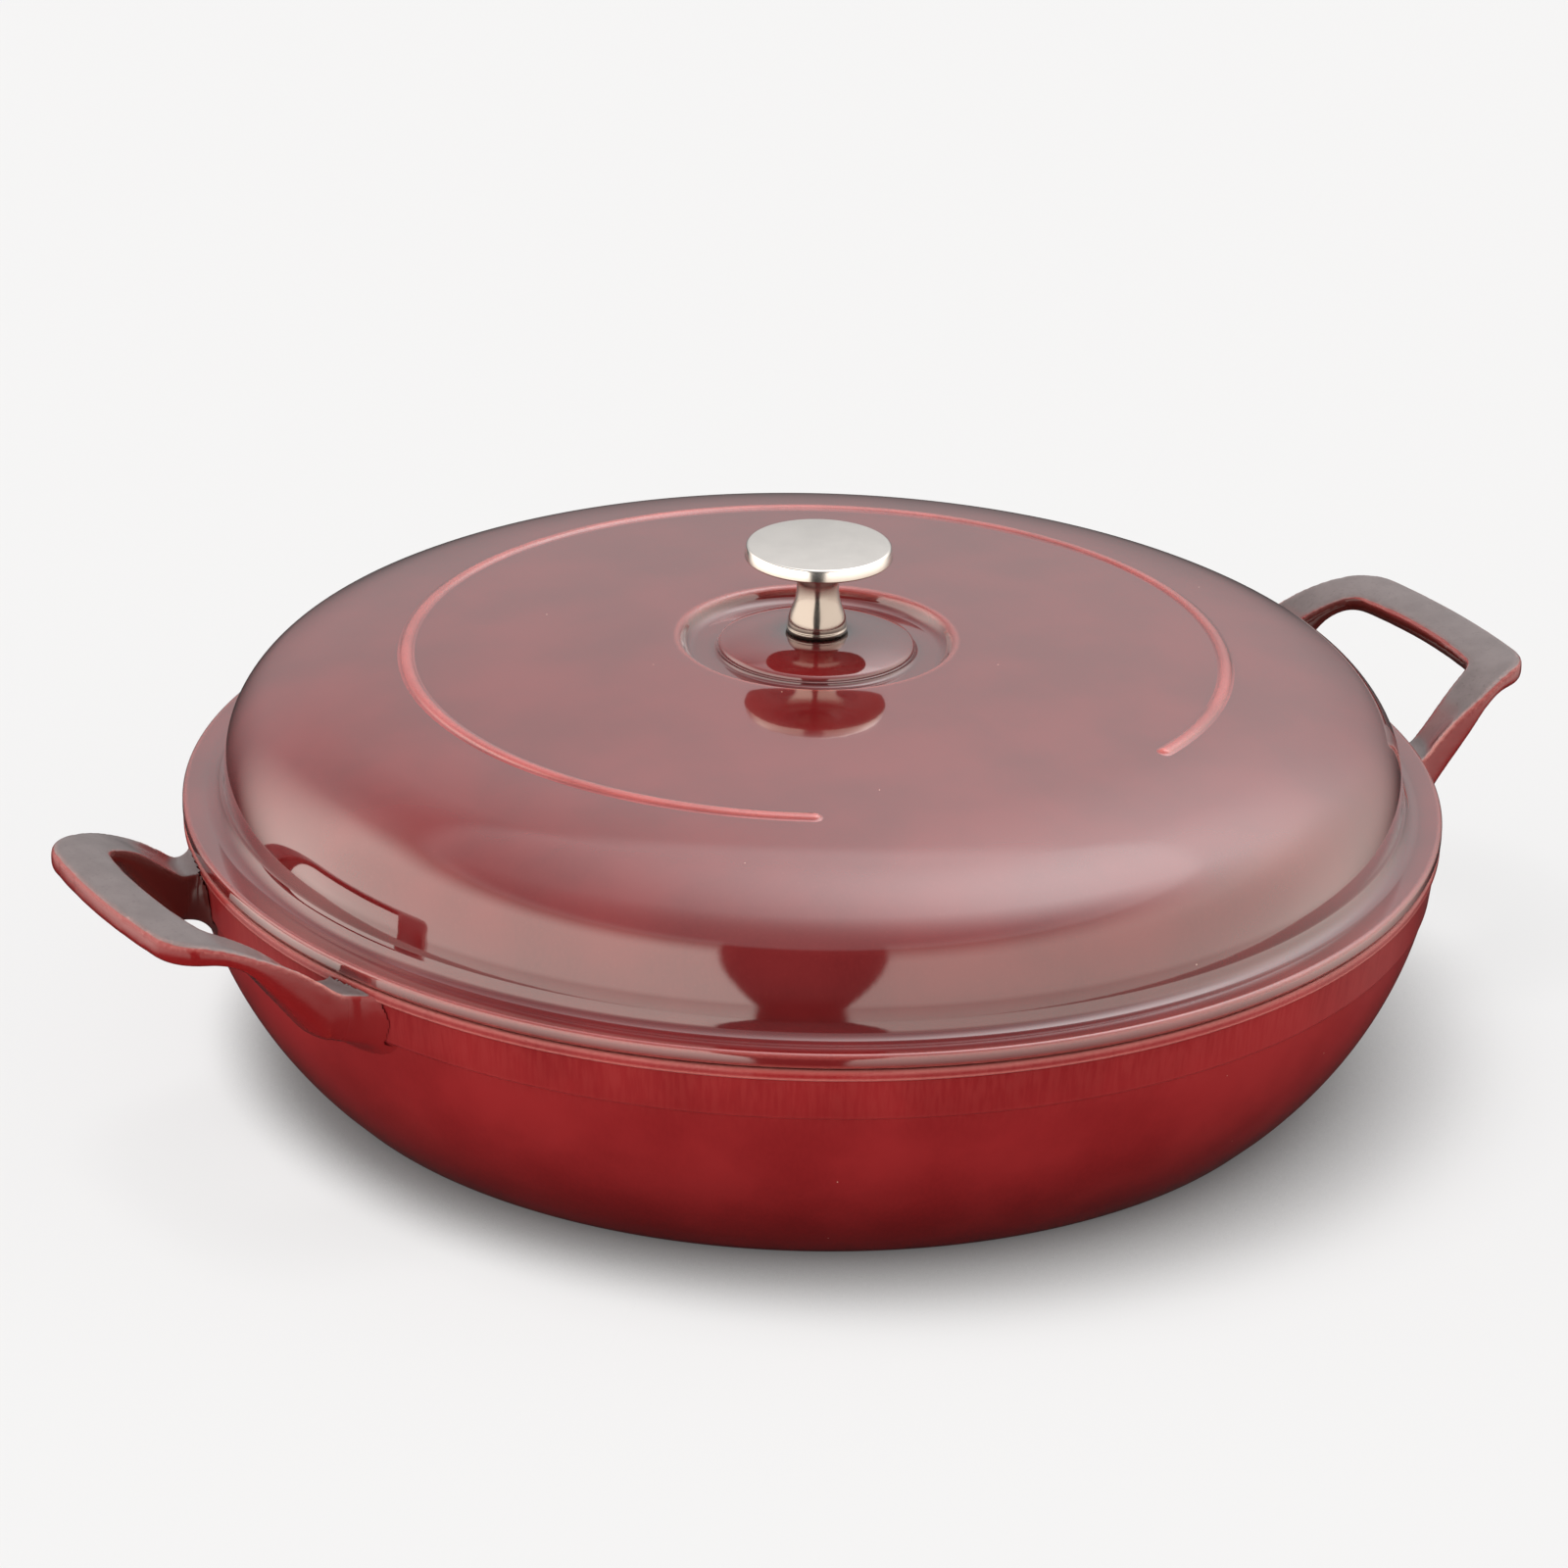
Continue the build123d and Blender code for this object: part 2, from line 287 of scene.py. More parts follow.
class Nodes:
    """A node tree whose nodes are added and joined by short calls."""

    def __init__(self, tree: bpy.types.NodeTree) -> None:
        """Start with an empty tree.

        Args:
            tree: The tree, which is cleared.
        """
        self.tree = tree
        self.tree.nodes.clear()

    def node(self, kind: str, feeds: Feeds | None = None, **settings: object) -> bpy.types.Node:
        """Add a node, set its properties and fill its inputs.

        Args:
            kind: Blender's name for the node.
            feeds: What goes into its inputs, by their names or places.
            settings: Its properties.

        Returns:
            The new node.
        """
        node = self.tree.nodes.new(kind)
        for key, value in settings.items():
            setattr(node, key, value)
        for key, value in (feeds or {}).items():
            self.feed(node.inputs[key], value)
        return node

    def feed(self, socket: Socket, value: Value) -> None:
        """Link a socket to another one, or set its value.

        Args:
            socket: The input to fill.
            value: An output socket, a number, a colour or a vector.
        """
        if isinstance(value, Socket):
            self.tree.links.new(value, socket)
        elif isinstance(value, tuple) and len(value) == 3 and socket.type == "RGBA":
            socket.default_value = (*value, 1.0)
        else:
            socket.default_value = value

    def read(self, kind: str, output: str) -> Socket:
        """Add a node that only gives, and hand over one of its outputs."""
        return self.node(kind).outputs[output]

    def calc(self, kind: str, first: Value, second: Value = 0.0, clamp: bool = False) -> Socket:
        """Work out one number from two, by Blender's name for the operation."""
        feeds = {0: first, 1: second}
        return self.node("ShaderNodeMath", feeds, operation=kind, use_clamp=clamp).outputs[0]

    def product(self, first: Value, *others: Value) -> Socket:
        """Multiply numbers, from left to right."""
        for other in others:
            first = self.calc("MULTIPLY", first, other)
        return first

    def total(self, first: Value, *others: Value) -> Socket:
        """Add numbers up, from left to right."""
        for other in others:
            first = self.calc("ADD", first, other)
        return first

    def vector(self, operation: str, output: str, *inputs: Value) -> Socket:
        """Work out one output of a vector node from one or two vectors."""
        feeds = dict(enumerate(inputs))
        return self.node("ShaderNodeVectorMath", feeds, operation=operation).outputs[output]

    def split(self, vector: Value) -> tuple[Socket, Socket, Socket]:
        """Take a vector apart into X, Y and Z."""
        return tuple(self.node("ShaderNodeSeparateXYZ", {0: vector}).outputs)

    def fade(self, value: Value, reads: Span, gives: Span = (0.0, 1.0)) -> Socket:
        """Turn a range of numbers smoothly into another.

        Args:
            value: The number to read.
            reads: The numbers that give the first and the last result.
            gives: Those two results, which also hold beyond.

        Returns:
            The output socket of the result.
        """
        ends = ("From Min", "From Max", "To Min", "To Max")
        feeds = {"Value": value, **dict(zip(ends, (*reads, *gives)))}
        node = self.node("ShaderNodeMapRange", feeds, interpolation_type="SMOOTHSTEP")
        return node.outputs["Result"]

    def mix(self, share: Value, first: Socket, second: Socket) -> Socket:
        """Mix two shaders by a share from 0 to 1."""
        return self.node("ShaderNodeMixShader", {0: share, 1: first, 2: second}).outputs[0]


class Recipe(Nodes):
    """The nodes of one material."""

    def __init__(self, name: str) -> None:
        """Start an empty material.

        Args:
            name: Name of the material.
        """
        self.material = bpy.data.materials.new(name)
        self.material.use_nodes = True
        super().__init__(self.material.node_tree)
        self.place = self.read("ShaderNodeTexCoord", "Object")

    def over(self, value: Socket, reads: Span, gives: Span = (0.0, 1.0)) -> Socket:
        """Turn a range of lengths in millimetres smoothly into numbers, as fade does."""
        return self.fade(value, (reads[0] * MM, reads[1] * MM), gives)

    def blend(self, share: Value, first: Value, second: Value) -> Socket:
        """Mix two colours by a share from 0 to 1."""
        feeds = {"Factor": share, "A": first, "B": second}
        return self.node("ShaderNodeMix", feeds, data_type="RGBA").outputs["Result"]

    def noise(self, size: float, detail: float, stretch: Point3 = (1.0, 1.0, 1.0)) -> Socket:
        """Read a cloudy pattern on the object's own place.

        Args:
            size: Size of the clouds in millimetres.
            detail: Number of finer layers.
            stretch: Factors that lengthen the pattern along X, Y and Z.

        Returns:
            The output socket with numbers around a half.
        """
        feeds = {"Vector": self.place, "Scale": tuple(1 / factor for factor in stretch)}
        place = self.node("ShaderNodeMapping", feeds).outputs["Vector"]
        feeds = {"Vector": place, "Scale": 1 / (size * MM), "Detail": detail}
        return self.node("ShaderNodeTexNoise", feeds).outputs["Fac"]

    def clouds(self, size: float, detail: float, gives: Span = (0.0, 1.0)) -> Socket:
        """Read soft clouds of a size in millimetres, from one number to another."""
        return self.fade(self.noise(size, detail), CLOUD_RANGE, gives)

    def grain(self, size: float, stretch: float, share: float) -> Socket:
        """Read fine grain of a size in millimetres, drawn out upright, from 0 to a share."""
        return self.fade(self.noise(size, SOFT, (1.0, 1.0, stretch)), GRAIN_RANGE, (0.0, share))

    def specks(self, spacing: float, size: float, share: float) -> Socket:
        """Scatter small round specks.

        Args:
            spacing: Width of the cells that may each hold a speck, in millimetres.
            size: Radius of a speck as a share of a cell.
            share: Share of the cells that hold one.

        Returns:
            A socket that is 1 in a speck and 0 elsewhere.
        """
        feeds = {"Vector": self.place, "Scale": 1 / (spacing * MM)}
        cells = self.node("ShaderNodeTexVoronoi", feeds, feature="F1").outputs
        near = self.fade(cells["Distance"], (size * 0.6, size), FALLING)
        number = self.node("ShaderNodeSeparateColor", {0: cells["Color"]}).outputs[0]
        return self.product(near, self.fade(number, (1 - share, 1 - share * 0.9)))

    def shut_in(self, reach: Value, strength: float, **settings: bool) -> Socket:
        """Tell how much of the room round a place is taken up by what is near, times a strength."""
        feeds = {"Distance": reach}
        shelter = self.node("ShaderNodeAmbientOcclusion", feeds, samples=EDGE_SAMPLES, **settings)
        share = self.calc("SUBTRACT", 1.0, shelter.outputs["AO"])
        return self.calc("MULTIPLY", share, strength, clamp=True)

    def edges(self, reach: Value, strength: float) -> Socket:
        """Find outward edges and ridges, where a glaze runs thinner and where highlights are
        painted.

        Args:
            reach: Distance from the edge that still counts, in metres.
            strength: Factor on the result.

        Returns:
            A socket that rises from 0 on flat places towards 1 on edges.
        """
        return self.shut_in(reach, strength, inside=True, only_local=True)

    def hollows(self, reach: float, strength: float) -> Socket:
        """Find inward corners, where a glaze gathers and where shade is painted.

        Args:
            reach: Distance from the corner that still counts, in millimetres.
            strength: Factor on the result.

        Returns:
            A socket that rises from 0 on open places towards 1 in corners.
        """
        return self.shut_in(reach * MM, strength)

    def facing_up(self, reads: Span) -> Socket:
        """Tell surfaces that face up from the rest, by the height of their normal."""
        normal = self.read("ShaderNodeNewGeometry", "Normal")
        return self.fade(self.split(normal)[2], reads)

    def facing_loop(self, middle: Point3, reads: Span) -> Socket:
        """Tell surfaces that face the middle of a loop from the rest.

        Args:
            middle: The loop's middle, in millimetres.
            reads: How far towards the middle a surface begins to count and counts in full, in
                millimetres.

        Returns:
            A socket that is 1 inside the loop and 0 outside.
        """
        middle_at = tuple(part * MM for part in middle)
        way = self.vector("SUBTRACT", "Vector", middle_at, self.place)
        normal = self.read("ShaderNodeNewGeometry", "Normal")
        return self.over(self.vector("DOT_PRODUCT", "Value", way, normal), reads)

    def radius(self) -> Socket:
        """Read the distance from the pot's upright axis."""
        level = self.vector("MULTIPLY", "Vector", self.place, (1.0, 1.0, 0.0))
        return self.vector("LENGTH", "Value", level)

    def height(self) -> Socket:
        """Read the height above the table."""
        return self.split(self.place)[2]

    def bump(self, height: Socket, depth: float, below: Socket | None = None) -> Socket:
        """Raise and lower the surface by a pattern.

        Args:
            height: The pattern, from 0 to 1.
            depth: Height of the relief in millimetres.
            below: Normal of a coarser relief under this one, if there is one.

        Returns:
            The output socket with the new normal.
        """
        feeds = {"Distance": depth * MM, "Height": height}
        if below is not None:
            feeds["Normal"] = below
        return self.node("ShaderNodeBump", feeds).outputs["Normal"]

    def finish(
        self, colour: Value, roughness: Value, normal: Socket | None = None, **levels: float
    ) -> bpy.types.Material:
        """Add the surface shader and hand over the material.

        Args:
            colour: Base colour.
            roughness: Roughness of the base.
            normal: Normal of the surface, if a relief changes it.
            levels: Other levels, by the shader's own names with spaces as underscores.

        Returns:
            The finished material.
        """
        feeds = {"Base Color": colour, "Roughness": roughness}
        if normal is not None:
            feeds |= {"Normal": normal, "Coat Normal": normal}
        feeds |= {key.replace("_", " "): value for key, value in levels.items()}
        shader = self.node("ShaderNodeBsdfPrincipled", feeds)
        self.node("ShaderNodeOutputMaterial", {"Surface": shader.outputs["BSDF"]})
        return self.material


@dataclass(frozen=True)
class RedGlaze:
    """Glossy, translucent dark-red enamel: pale and pinkish on its edges, where it runs thinner and
    where a highlight is painted, and dark where it gathers, with painted shade there too.

    Lengths are millimetres. A feature whose number is 0 is off.
    """

    name: str
    deep: Colour = (0.12, 0.006, 0.007)
    cloud: Colour = (0.16, 0.011, 0.012)
    # Pale pink of the edges: partly glaze that runs thinner, partly a painted highlight
    edge: Colour = (0.8, 0.19, 0.16)
    pooled_and_shaded: Colour = (0.016, 0.01, 0.011)
    speck: Colour = (0.75, 0.5, 0.4)
    streak: Colour = (0.8, 0.19, 0.16)
    cloud_size: float = 26.0
    grain_size: float = 0.9
    grain_stretch: float = 2.5
    grain_share: float = 0.16
    streak_stretch: float = 24.0
    speck_spacing: float = 6.0
    speck_size: float = 0.035
    speck_share: float = 0.13
    edge_reach: float = 1.9
    rim_edge_reach: float = 0.8
    edge_reach_radii: Span = (110.0, 140.0)
    edge_strength: float = 2.8
    hollow_reach: float = 3.0
    hollow_strength: float = 2.3
    coat_weight: float = 1.0
    coat_ior: float = 1.74
    coat_roughness: float = 0.03
    base_ior: float = 1.42
    roughness: float = 0.1
    orange_peel: float = 0.012
    orange_peel_size: float = 7.0
    fine_peel_size: float = 1.1
    fine_peel_share: float = 0.08
    painted_foot_shade: float = 0.0
    painted_foot_shade_heights: Span = (4.0, 40.0)
    belt_streaks: float = 0.0
    belt_heights: Span = (40.0, 56.0)
    pad_radius: float = 0.0
    pad_edge_share: float = 0.12
    pale_from: float = 0.0
    low_edge_share: float = 0.1
    edge_fade_width: float = 3.0

    def make(self) -> bpy.types.Material:
        """Build the material."""
        recipe = Recipe(self.name)
        colour = recipe.blend(recipe.clouds(self.cloud_size, FINE), self.deep, self.cloud)
        # Painted shade: darker towards the foot, where the belly faces the table in the pot's own
        # shadow
        if self.painted_foot_shade:
            low = recipe.over(recipe.height(), self.painted_foot_shade_heights, (1 - self.painted_foot_shade, 1.0))
            colour = recipe.blend(low, (0.0, 0.0, 0.0), colour)
        if self.belt_streaks:
            lines = recipe.grain(self.grain_size, self.streak_stretch, self.belt_streaks)
            belt = recipe.over(recipe.height(), self.belt_heights)
            colour = recipe.blend(recipe.product(lines, belt), colour, self.streak)
        grain = recipe.grain(self.grain_size, self.grain_stretch, self.grain_share)
        colour = recipe.blend(grain, colour, self.cloud)
        # Painted shade in corners and recesses, on top of the darker glaze that pools there
        hollows = recipe.hollows(self.hollow_reach, self.hollow_strength)
        colour = recipe.blend(hollows, colour, self.pooled_and_shaded)
        # Edges painted pale: glaze that runs thinner there, and a painted highlight
        colour = recipe.blend(self.thinner_glaze_and_highlight_share(recipe), colour, self.edge)
        specks = recipe.specks(self.speck_spacing, self.speck_size, self.speck_share)
        colour = recipe.blend(specks, colour, self.speck)
        peel = recipe.bump(recipe.noise(self.orange_peel_size, SOFT), self.orange_peel)
        fine = recipe.noise(self.fine_peel_size, SOFT)
        return recipe.finish(
            colour,
            self.roughness,
            recipe.bump(fine, self.orange_peel * self.fine_peel_share, peel),
            IOR=self.base_ior,
            Coat_Weight=self.coat_weight,
            Coat_IOR=self.coat_ior,
            Coat_Roughness=self.coat_roughness,
        )

    def thinner_glaze_and_highlight_share(self, recipe: Recipe) -> Socket:
        """Tell where the glaze runs thinner and a highlight is painted on its edges, less round the
        knob's pad and below a height.
        """
        reaches = (self.edge_reach * MM, self.rim_edge_reach * MM)
        reach = recipe.over(recipe.radius(), self.edge_reach_radii, reaches)
        thinner_glaze_and_highlight = recipe.edges(reach, self.edge_strength)
        if self.pad_radius:
            radii = (self.pad_radius, self.pad_radius + self.edge_fade_width)
            pad = recipe.over(recipe.radius(), radii, (self.pad_edge_share, 1.0))
            thinner_glaze_and_highlight = recipe.product(thinner_glaze_and_highlight, pad)
        if self.pale_from:
            heights = (self.pale_from - self.edge_fade_width, self.pale_from)
            high = recipe.over(recipe.height(), heights, (self.low_edge_share, 1.0))
            thinner_glaze_and_highlight = recipe.product(thinner_glaze_and_highlight, high)
        return thinner_glaze_and_highlight


@dataclass(frozen=True)
class HandleGlaze:
    """The same enamel on a handle: a satin grey skin on top, red sides, darker inside the loop, and
    painted highlights on its edges.
    """

    name: str
    loop_middle: Point3
    top: Colour = (0.145, 0.118, 0.118)
    pitted: Colour = (0.09, 0.07, 0.07)
    side: Colour = (0.2, 0.009, 0.01)
    inner: Colour = (0.075, 0.012, 0.01)
    shaded: Colour = (0.05, 0.004, 0.005)
    upper_edge_highlight: Colour = (0.92, 0.45, 0.4)
    lower_edge_highlight: Colour = (0.55, 0.03, 0.015)
    top_facing: Span = (0.66, 0.86)
    pit_size: float = 0.9
    pit_range: Span = (0.56, 0.7)
    pit_share: float = 0.5
    pit_depth: float = 0.006
    cloud_size: float = 7.0
    cloud_share: float = 0.45
    wave_size: float = 5.0
    wave_depth: float = 0.05
    inside_from: Span = (2.0, 8.0)
    hollow_reach: float = 4.0
    hollow_strength: float = 0.7
    edge_facing: Span = (-0.35, 0.3)
    edge_reach: float = 0.8
    edge_strength: float = 3.0
    inner_edge_loss: float = 0.8
    root_radii: Span = (151.0, 156.0)
    root_edge_share: float = 0.15
    blur_radii: Span = (150.0, 164.0)
    root_blur: float = 0.18
    roughness: float = 0.12
    top_blur: float = 0.22

    def make(self) -> bpy.types.Material:
        """Build the material."""
        recipe = Recipe(self.name)
        level = recipe.facing_up(self.top_facing)
        pits = recipe.fade(recipe.noise(self.pit_size, MEDIUM), self.pit_range)
        clouds = recipe.clouds(self.cloud_size, MEDIUM, (0.0, self.cloud_share))
        top = recipe.blend(recipe.product(pits, self.pit_share), self.top, self.pitted)
        top = recipe.blend(clouds, top, self.pitted)
        inside = recipe.facing_loop(self.loop_middle, self.inside_from)
        colour = recipe.blend(level, recipe.blend(inside, self.side, self.inner), top)
        hollows = recipe.hollows(self.hollow_reach, self.hollow_strength)
        colour = recipe.blend(hollows, colour, self.shaded)
        # Painted highlights on the edges: pale pink on edges that face up, orange-red on those that
        # face down
        edge = recipe.blend(recipe.facing_up(self.edge_facing), self.lower_edge_highlight, self.upper_edge_highlight)
        thinner_glaze_and_highlight = recipe.product(
            recipe.edges(self.edge_reach * MM, self.edge_strength),
            recipe.calc("SUBTRACT", 1.0, recipe.product(inside, self.inner_edge_loss)),
            recipe.over(recipe.radius(), self.root_radii, (self.root_edge_share, 1.0)),
        )
        colour = recipe.blend(thinner_glaze_and_highlight, colour, edge)
        waves = recipe.bump(recipe.noise(self.wave_size, SOFT), self.wave_depth)
        near = recipe.over(recipe.radius(), self.blur_radii, (self.root_blur, 0.0))
        return recipe.finish(
            colour,
            recipe.total(recipe.product(level, self.top_blur), recipe.total(near, self.roughness)),
            recipe.bump(pits, self.pit_depth, waves),
            IOR=1.25,
            Coat_Weight=0.6,
            Coat_IOR=1.42,
            Coat_Roughness=0.05,
        )


@dataclass(frozen=True)
class BlackEnamel:
    """Matt black enamel with a fine sandy grain, as on the cooking surfaces."""

    name: str = "black_enamel"
    colour: Colour = (0.012, 0.012, 0.013)
    worn: Colour = (0.03, 0.029, 0.028)
    grain_size: float = 0.7
    grain_depth: float = 0.05
    worn_range: Span = (0.5, 0.75)
    cloud_size: float = 14.0
    roughness: Span = (0.46, 0.6)
    wave_size: float = 4.0
    wave_depth: float = 0.06

    def make(self) -> bpy.types.Material:
        """Build the material."""
        recipe = Recipe(self.name)
        grain = recipe.noise(self.grain_size, FINE)
        colour = recipe.blend(recipe.fade(grain, self.worn_range), self.colour, self.worn)
        rough = recipe.clouds(self.cloud_size, MEDIUM, self.roughness)
        waves = recipe.bump(recipe.noise(self.wave_size, SOFT), self.wave_depth)
        return recipe.finish(colour, rough, recipe.bump(grain, self.grain_depth, waves))


@dataclass(frozen=True)
class Nickel:
    """Polished nickel plate, a little warm, with faint turning marks and soft blur; its stem is
    painted darker to dim its reflections.
    """

    name: str = "polished_nickel"
    colour: Colour = (0.95, 0.9, 0.85)
    cloud_darkness: float = 0.94
    cloud_size: float = 9.0
    stem_painted_darker: Colour = (0.4, 0.35, 0.305)
    stem_heights: Span = (121.8, 125.2)
    blur_size: float = 3.0
    roughness: Span = (0.15, 0.2)
    mark_size: float = 0.5
    mark_stretch: Point3 = (1.0, 1.0, 0.15)
    mark_depth: float = 0.0015

    def make(self) -> bpy.types.Material:
        """Build the material."""
        recipe = Recipe(self.name)
        cloud = tuple(self.cloud_darkness * part for part in self.colour)
        colour = recipe.blend(recipe.clouds(self.cloud_size, MEDIUM), self.colour, cloud)
        # Painted shade: the stem is coloured darker to dim its reflections
        high = recipe.over(recipe.height(), self.stem_heights)
        colour = recipe.blend(high, self.stem_painted_darker, colour)
        rough = recipe.clouds(self.blur_size, FINE, self.roughness)
        marks = recipe.noise(self.mark_size, SOFT, self.mark_stretch)
        return recipe.finish(colour, rough, recipe.bump(marks, self.mark_depth), Metallic=1.0)


@dataclass(frozen=True)
class PlainSteel:
    """Plain stainless steel of the screw and its washer, lightly scratched."""

    name: str
    colour: Colour = (0.56, 0.56, 0.57)
    scratch_darkness: float = 0.8
    scratch_size: float = 0.4
    scratch_stretch: Point3 = (9.0, 1.0, 1.0)
    scratch_range: Span = (0.4, 0.7)
    scratch_depth: float = 0.004
    roughness: Span = (0.24, 0.42)

    def make(self) -> bpy.types.Material:
        """Build the material."""
        recipe = Recipe(self.name)
        scratches = recipe.noise(self.scratch_size, FINE, self.scratch_stretch)
        darker = tuple(self.scratch_darkness * part for part in self.colour)
        colour = recipe.blend(recipe.fade(scratches, self.scratch_range), self.colour, darker)
        rough = recipe.fade(scratches, CLOUD_RANGE, self.roughness)
        normal = recipe.bump(scratches, self.scratch_depth)
        return recipe.finish(colour, rough, normal, Metallic=1.0)


# Pot


@dataclass(frozen=True)
class Rim:
    """The top of the pot's wall, on which the lid is drawn too."""

    radius: float = 150.0
    height: float = 59.6
    width: float = 5.2

    @property
    def middle(self) -> float:
        """Radius of the middle of the rim's width, where glaze and black meet."""
        return self.radius - self.width / 2


@dataclass
class Pot:
    """The bowl, turned from two lines, and the two loop handles that are cast onto it."""

    rim: Rim = Rim()
    rim_outer_round: float = 1.0
    bead_height: float = 2.5
    bead_depth: float = 0.65
    bead_slope: float = 0.45
    bead_lean: float = 0.1
    rim_inner_round: float = 1.0
    belt_drop: float = 13.0
    belt_flare: float = 1.9
    belt_step: float = 0.4
    base_inset: float = 29.6
    base_round: float = 2.0
    belly_radius: float = 87.4
    wall: float = 4.0
    floor_thickness: float = 5.2
    floor_round: float = 14.0
    foot_ring_width: float = 9.0
    foot_recess: float = 0.8
    arc_steps: int = 30
    foot_arc_steps: int = 4
    floor_arc_steps: int = 11
    floor_round_steps: int = 14
    weld: float = 0.001
    root_drop: float = 1.7
    handle_from: float = 118.0
    handle_mesh: float = 0.8
    light_rounds: int = 3
    fairing_turns: Span = (12.5, 20.8)
    fairing_depths: Span = (30.0, 14.0)
    fairing_from: float = 36.0
    blend_rounds: int = 80
    blend_depths: Span = (-0.5, 8.0)
    blend_drop: float = 1.6
    handle_clear: float = 0.08
    handle_dip: float = 0.35
    dip_share: float = 0.5
    loop_radius: float = 168.0
    loop_height: float = 60.0
    pale_height: float = 4.0

    def __post_init__(self) -> None:
        """Work out the belly's arc, as the part's source does."""
        self.belt_height = self.rim.height - self.belt_drop
        self.belt_radius = self.rim.radius - self.belt_flare
        self.base_radius = self.rim.radius - self.base_inset
        start = Vector((self.base_radius, 0.0))
        end = Vector((self.belt_radius - self.belt_step, self.belt_height))
        chord = end - start
        sagitta = math.sqrt(self.belly_radius**2 - (chord.length / 2) ** 2)
        self.belly_centre = (start + end) / 2 + Vector((-chord.y, chord.x)).normalized() * sagitta

    def belly_line(self, radius: float, low: float, high: float) -> list[Point]:
        """Sample an arc about the belly's centre between two heights, from the lower one up."""
        centre = self.belly_centre
        start = math.degrees(math.asin((low - centre.y) / radius))
        end = math.degrees(math.asin((high - centre.y) / radius))
        return arc_points((centre.x, centre.y), radius, start, end - start, self.arc_steps)

    def wall_radius(self, height: float) -> float:
        """Read the outer radius of the bowl at one height."""
        if height < self.belt_height:
            rise = height - self.belly_centre.y
            return self.belly_centre.x + math.sqrt(self.belly_radius**2 - rise**2)
        share = (height - self.belt_height) / self.belt_drop
        return self.belt_radius + self.belt_flare * min(share, 1.0)

    def build_bowl(self) -> bpy.types.Object:
        """Turn the bowl: glazed outside, black inside and on the rim."""
        ring_inner = self.base_radius - self.foot_ring_width
        belly = self.belly_line(self.belly_radius, 0.0, self.belt_height)
        foot = rounded_line(
            [
                (0.0, self.foot_recess, 0.0),
                (ring_inner - self.foot_recess, self.foot_recess, 0.5),
                (ring_inner, 0.0, 0.3),
                (*belly[0], self.base_round),
                (*belly[self.foot_arc_steps], 0.0),
            ]
        )
        rim = self.rim
        under_bead = rim.height - self.bead_height
        belt = rounded_line(
            [
                (*belly[-2], 0.0),
                (*belly[-1], 0.15),
                (self.belt_radius, self.belt_height + self.belt_step, 0.8),
                (rim.radius - self.bead_depth - self.bead_lean, under_bead - self.bead_slope, 0.3),
                (rim.radius - self.bead_lean, under_bead, 0.4),
                (rim.radius, rim.height, self.rim_outer_round),
                (rim.middle, rim.height, 0.0),
            ]
        )
        outside = foot[:-1] + belly[self.foot_arc_steps : -2] + belt
        inner_radius = self.belly_radius - self.wall
        inner = self.belly_line(inner_radius, self.floor_thickness, self.belt_height)
        upper = rounded_line(
            [
                (rim.middle, rim.height, 0.0),
                (rim.radius - rim.width, rim.height, self.rim_inner_round),
                (*inner[-1], 1.0),
                (*inner[-2], 0.0),
            ]
        )
        floor = rounded_line(
            [
                (*inner[self.floor_arc_steps], 0.0),
                (*inner[0], self.floor_round),
                (0.0, self.floor_thickness, 0.0),
            ],
            self.floor_round_steps,
        )
        inside = upper + inner[-3 : self.floor_arc_steps : -1] + floor[1:]
        bowl = Turning("pot_bowl")
        bowl.add_line(outside, 0)
        bowl.add_line(inside, 1)
        return bowl.finish()

    def proud(self, vert: bmesh.types.BMVert) -> float:
        """Tell how far a point stands out of the bowl's wall, in millimetres."""
        return math.hypot(vert.co.x, vert.co.y) / MM - self.wall_radius(vert.co.z / MM)

    def build_handle(self, name: str, side: int) -> bpy.types.Object:
        """Cast one handle: its end of the pot, evenly remeshed, its legs blended into the wall.

        Args:
            name: Name of the piece.
            side: 1 for the handle on +X, -1 for the one on -X.

        Returns:
            The new object.
        """
        mesh = bmesh.new()
        mesh.from_mesh(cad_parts["pot"].data)
        bmesh.ops.remove_doubles(mesh, verts=mesh.verts, dist=self.weld * MM)
        cut = bmesh.ops.bisect_plane(
            mesh,
            geom=mesh.verts[:] + mesh.edges[:] + mesh.faces[:],
            plane_co=(side * self.handle_from * MM, 0, 0),
            plane_no=(side, 0, 0),
            clear_inner=True,
        )["geom_cut"]
        edges = [item for item in cut if isinstance(item, bmesh.types.BMEdge)]
        bmesh.ops.triangle_fill(mesh, edges=edges)
        bmesh.ops.recalc_face_normals(mesh, faces=mesh.faces)
        rough = make_object(name + "_rough", mesh)
        remesh = rough.modifiers.new("even mesh", "REMESH")
        remesh.mode = "VOXEL"
        remesh.voxel_size = self.handle_mesh * MM
        graph = bpy.context.evaluated_depsgraph_get()
        data = bpy.data.meshes.new_from_object(rough.evaluated_get(graph))
        bpy.data.objects.remove(rough)

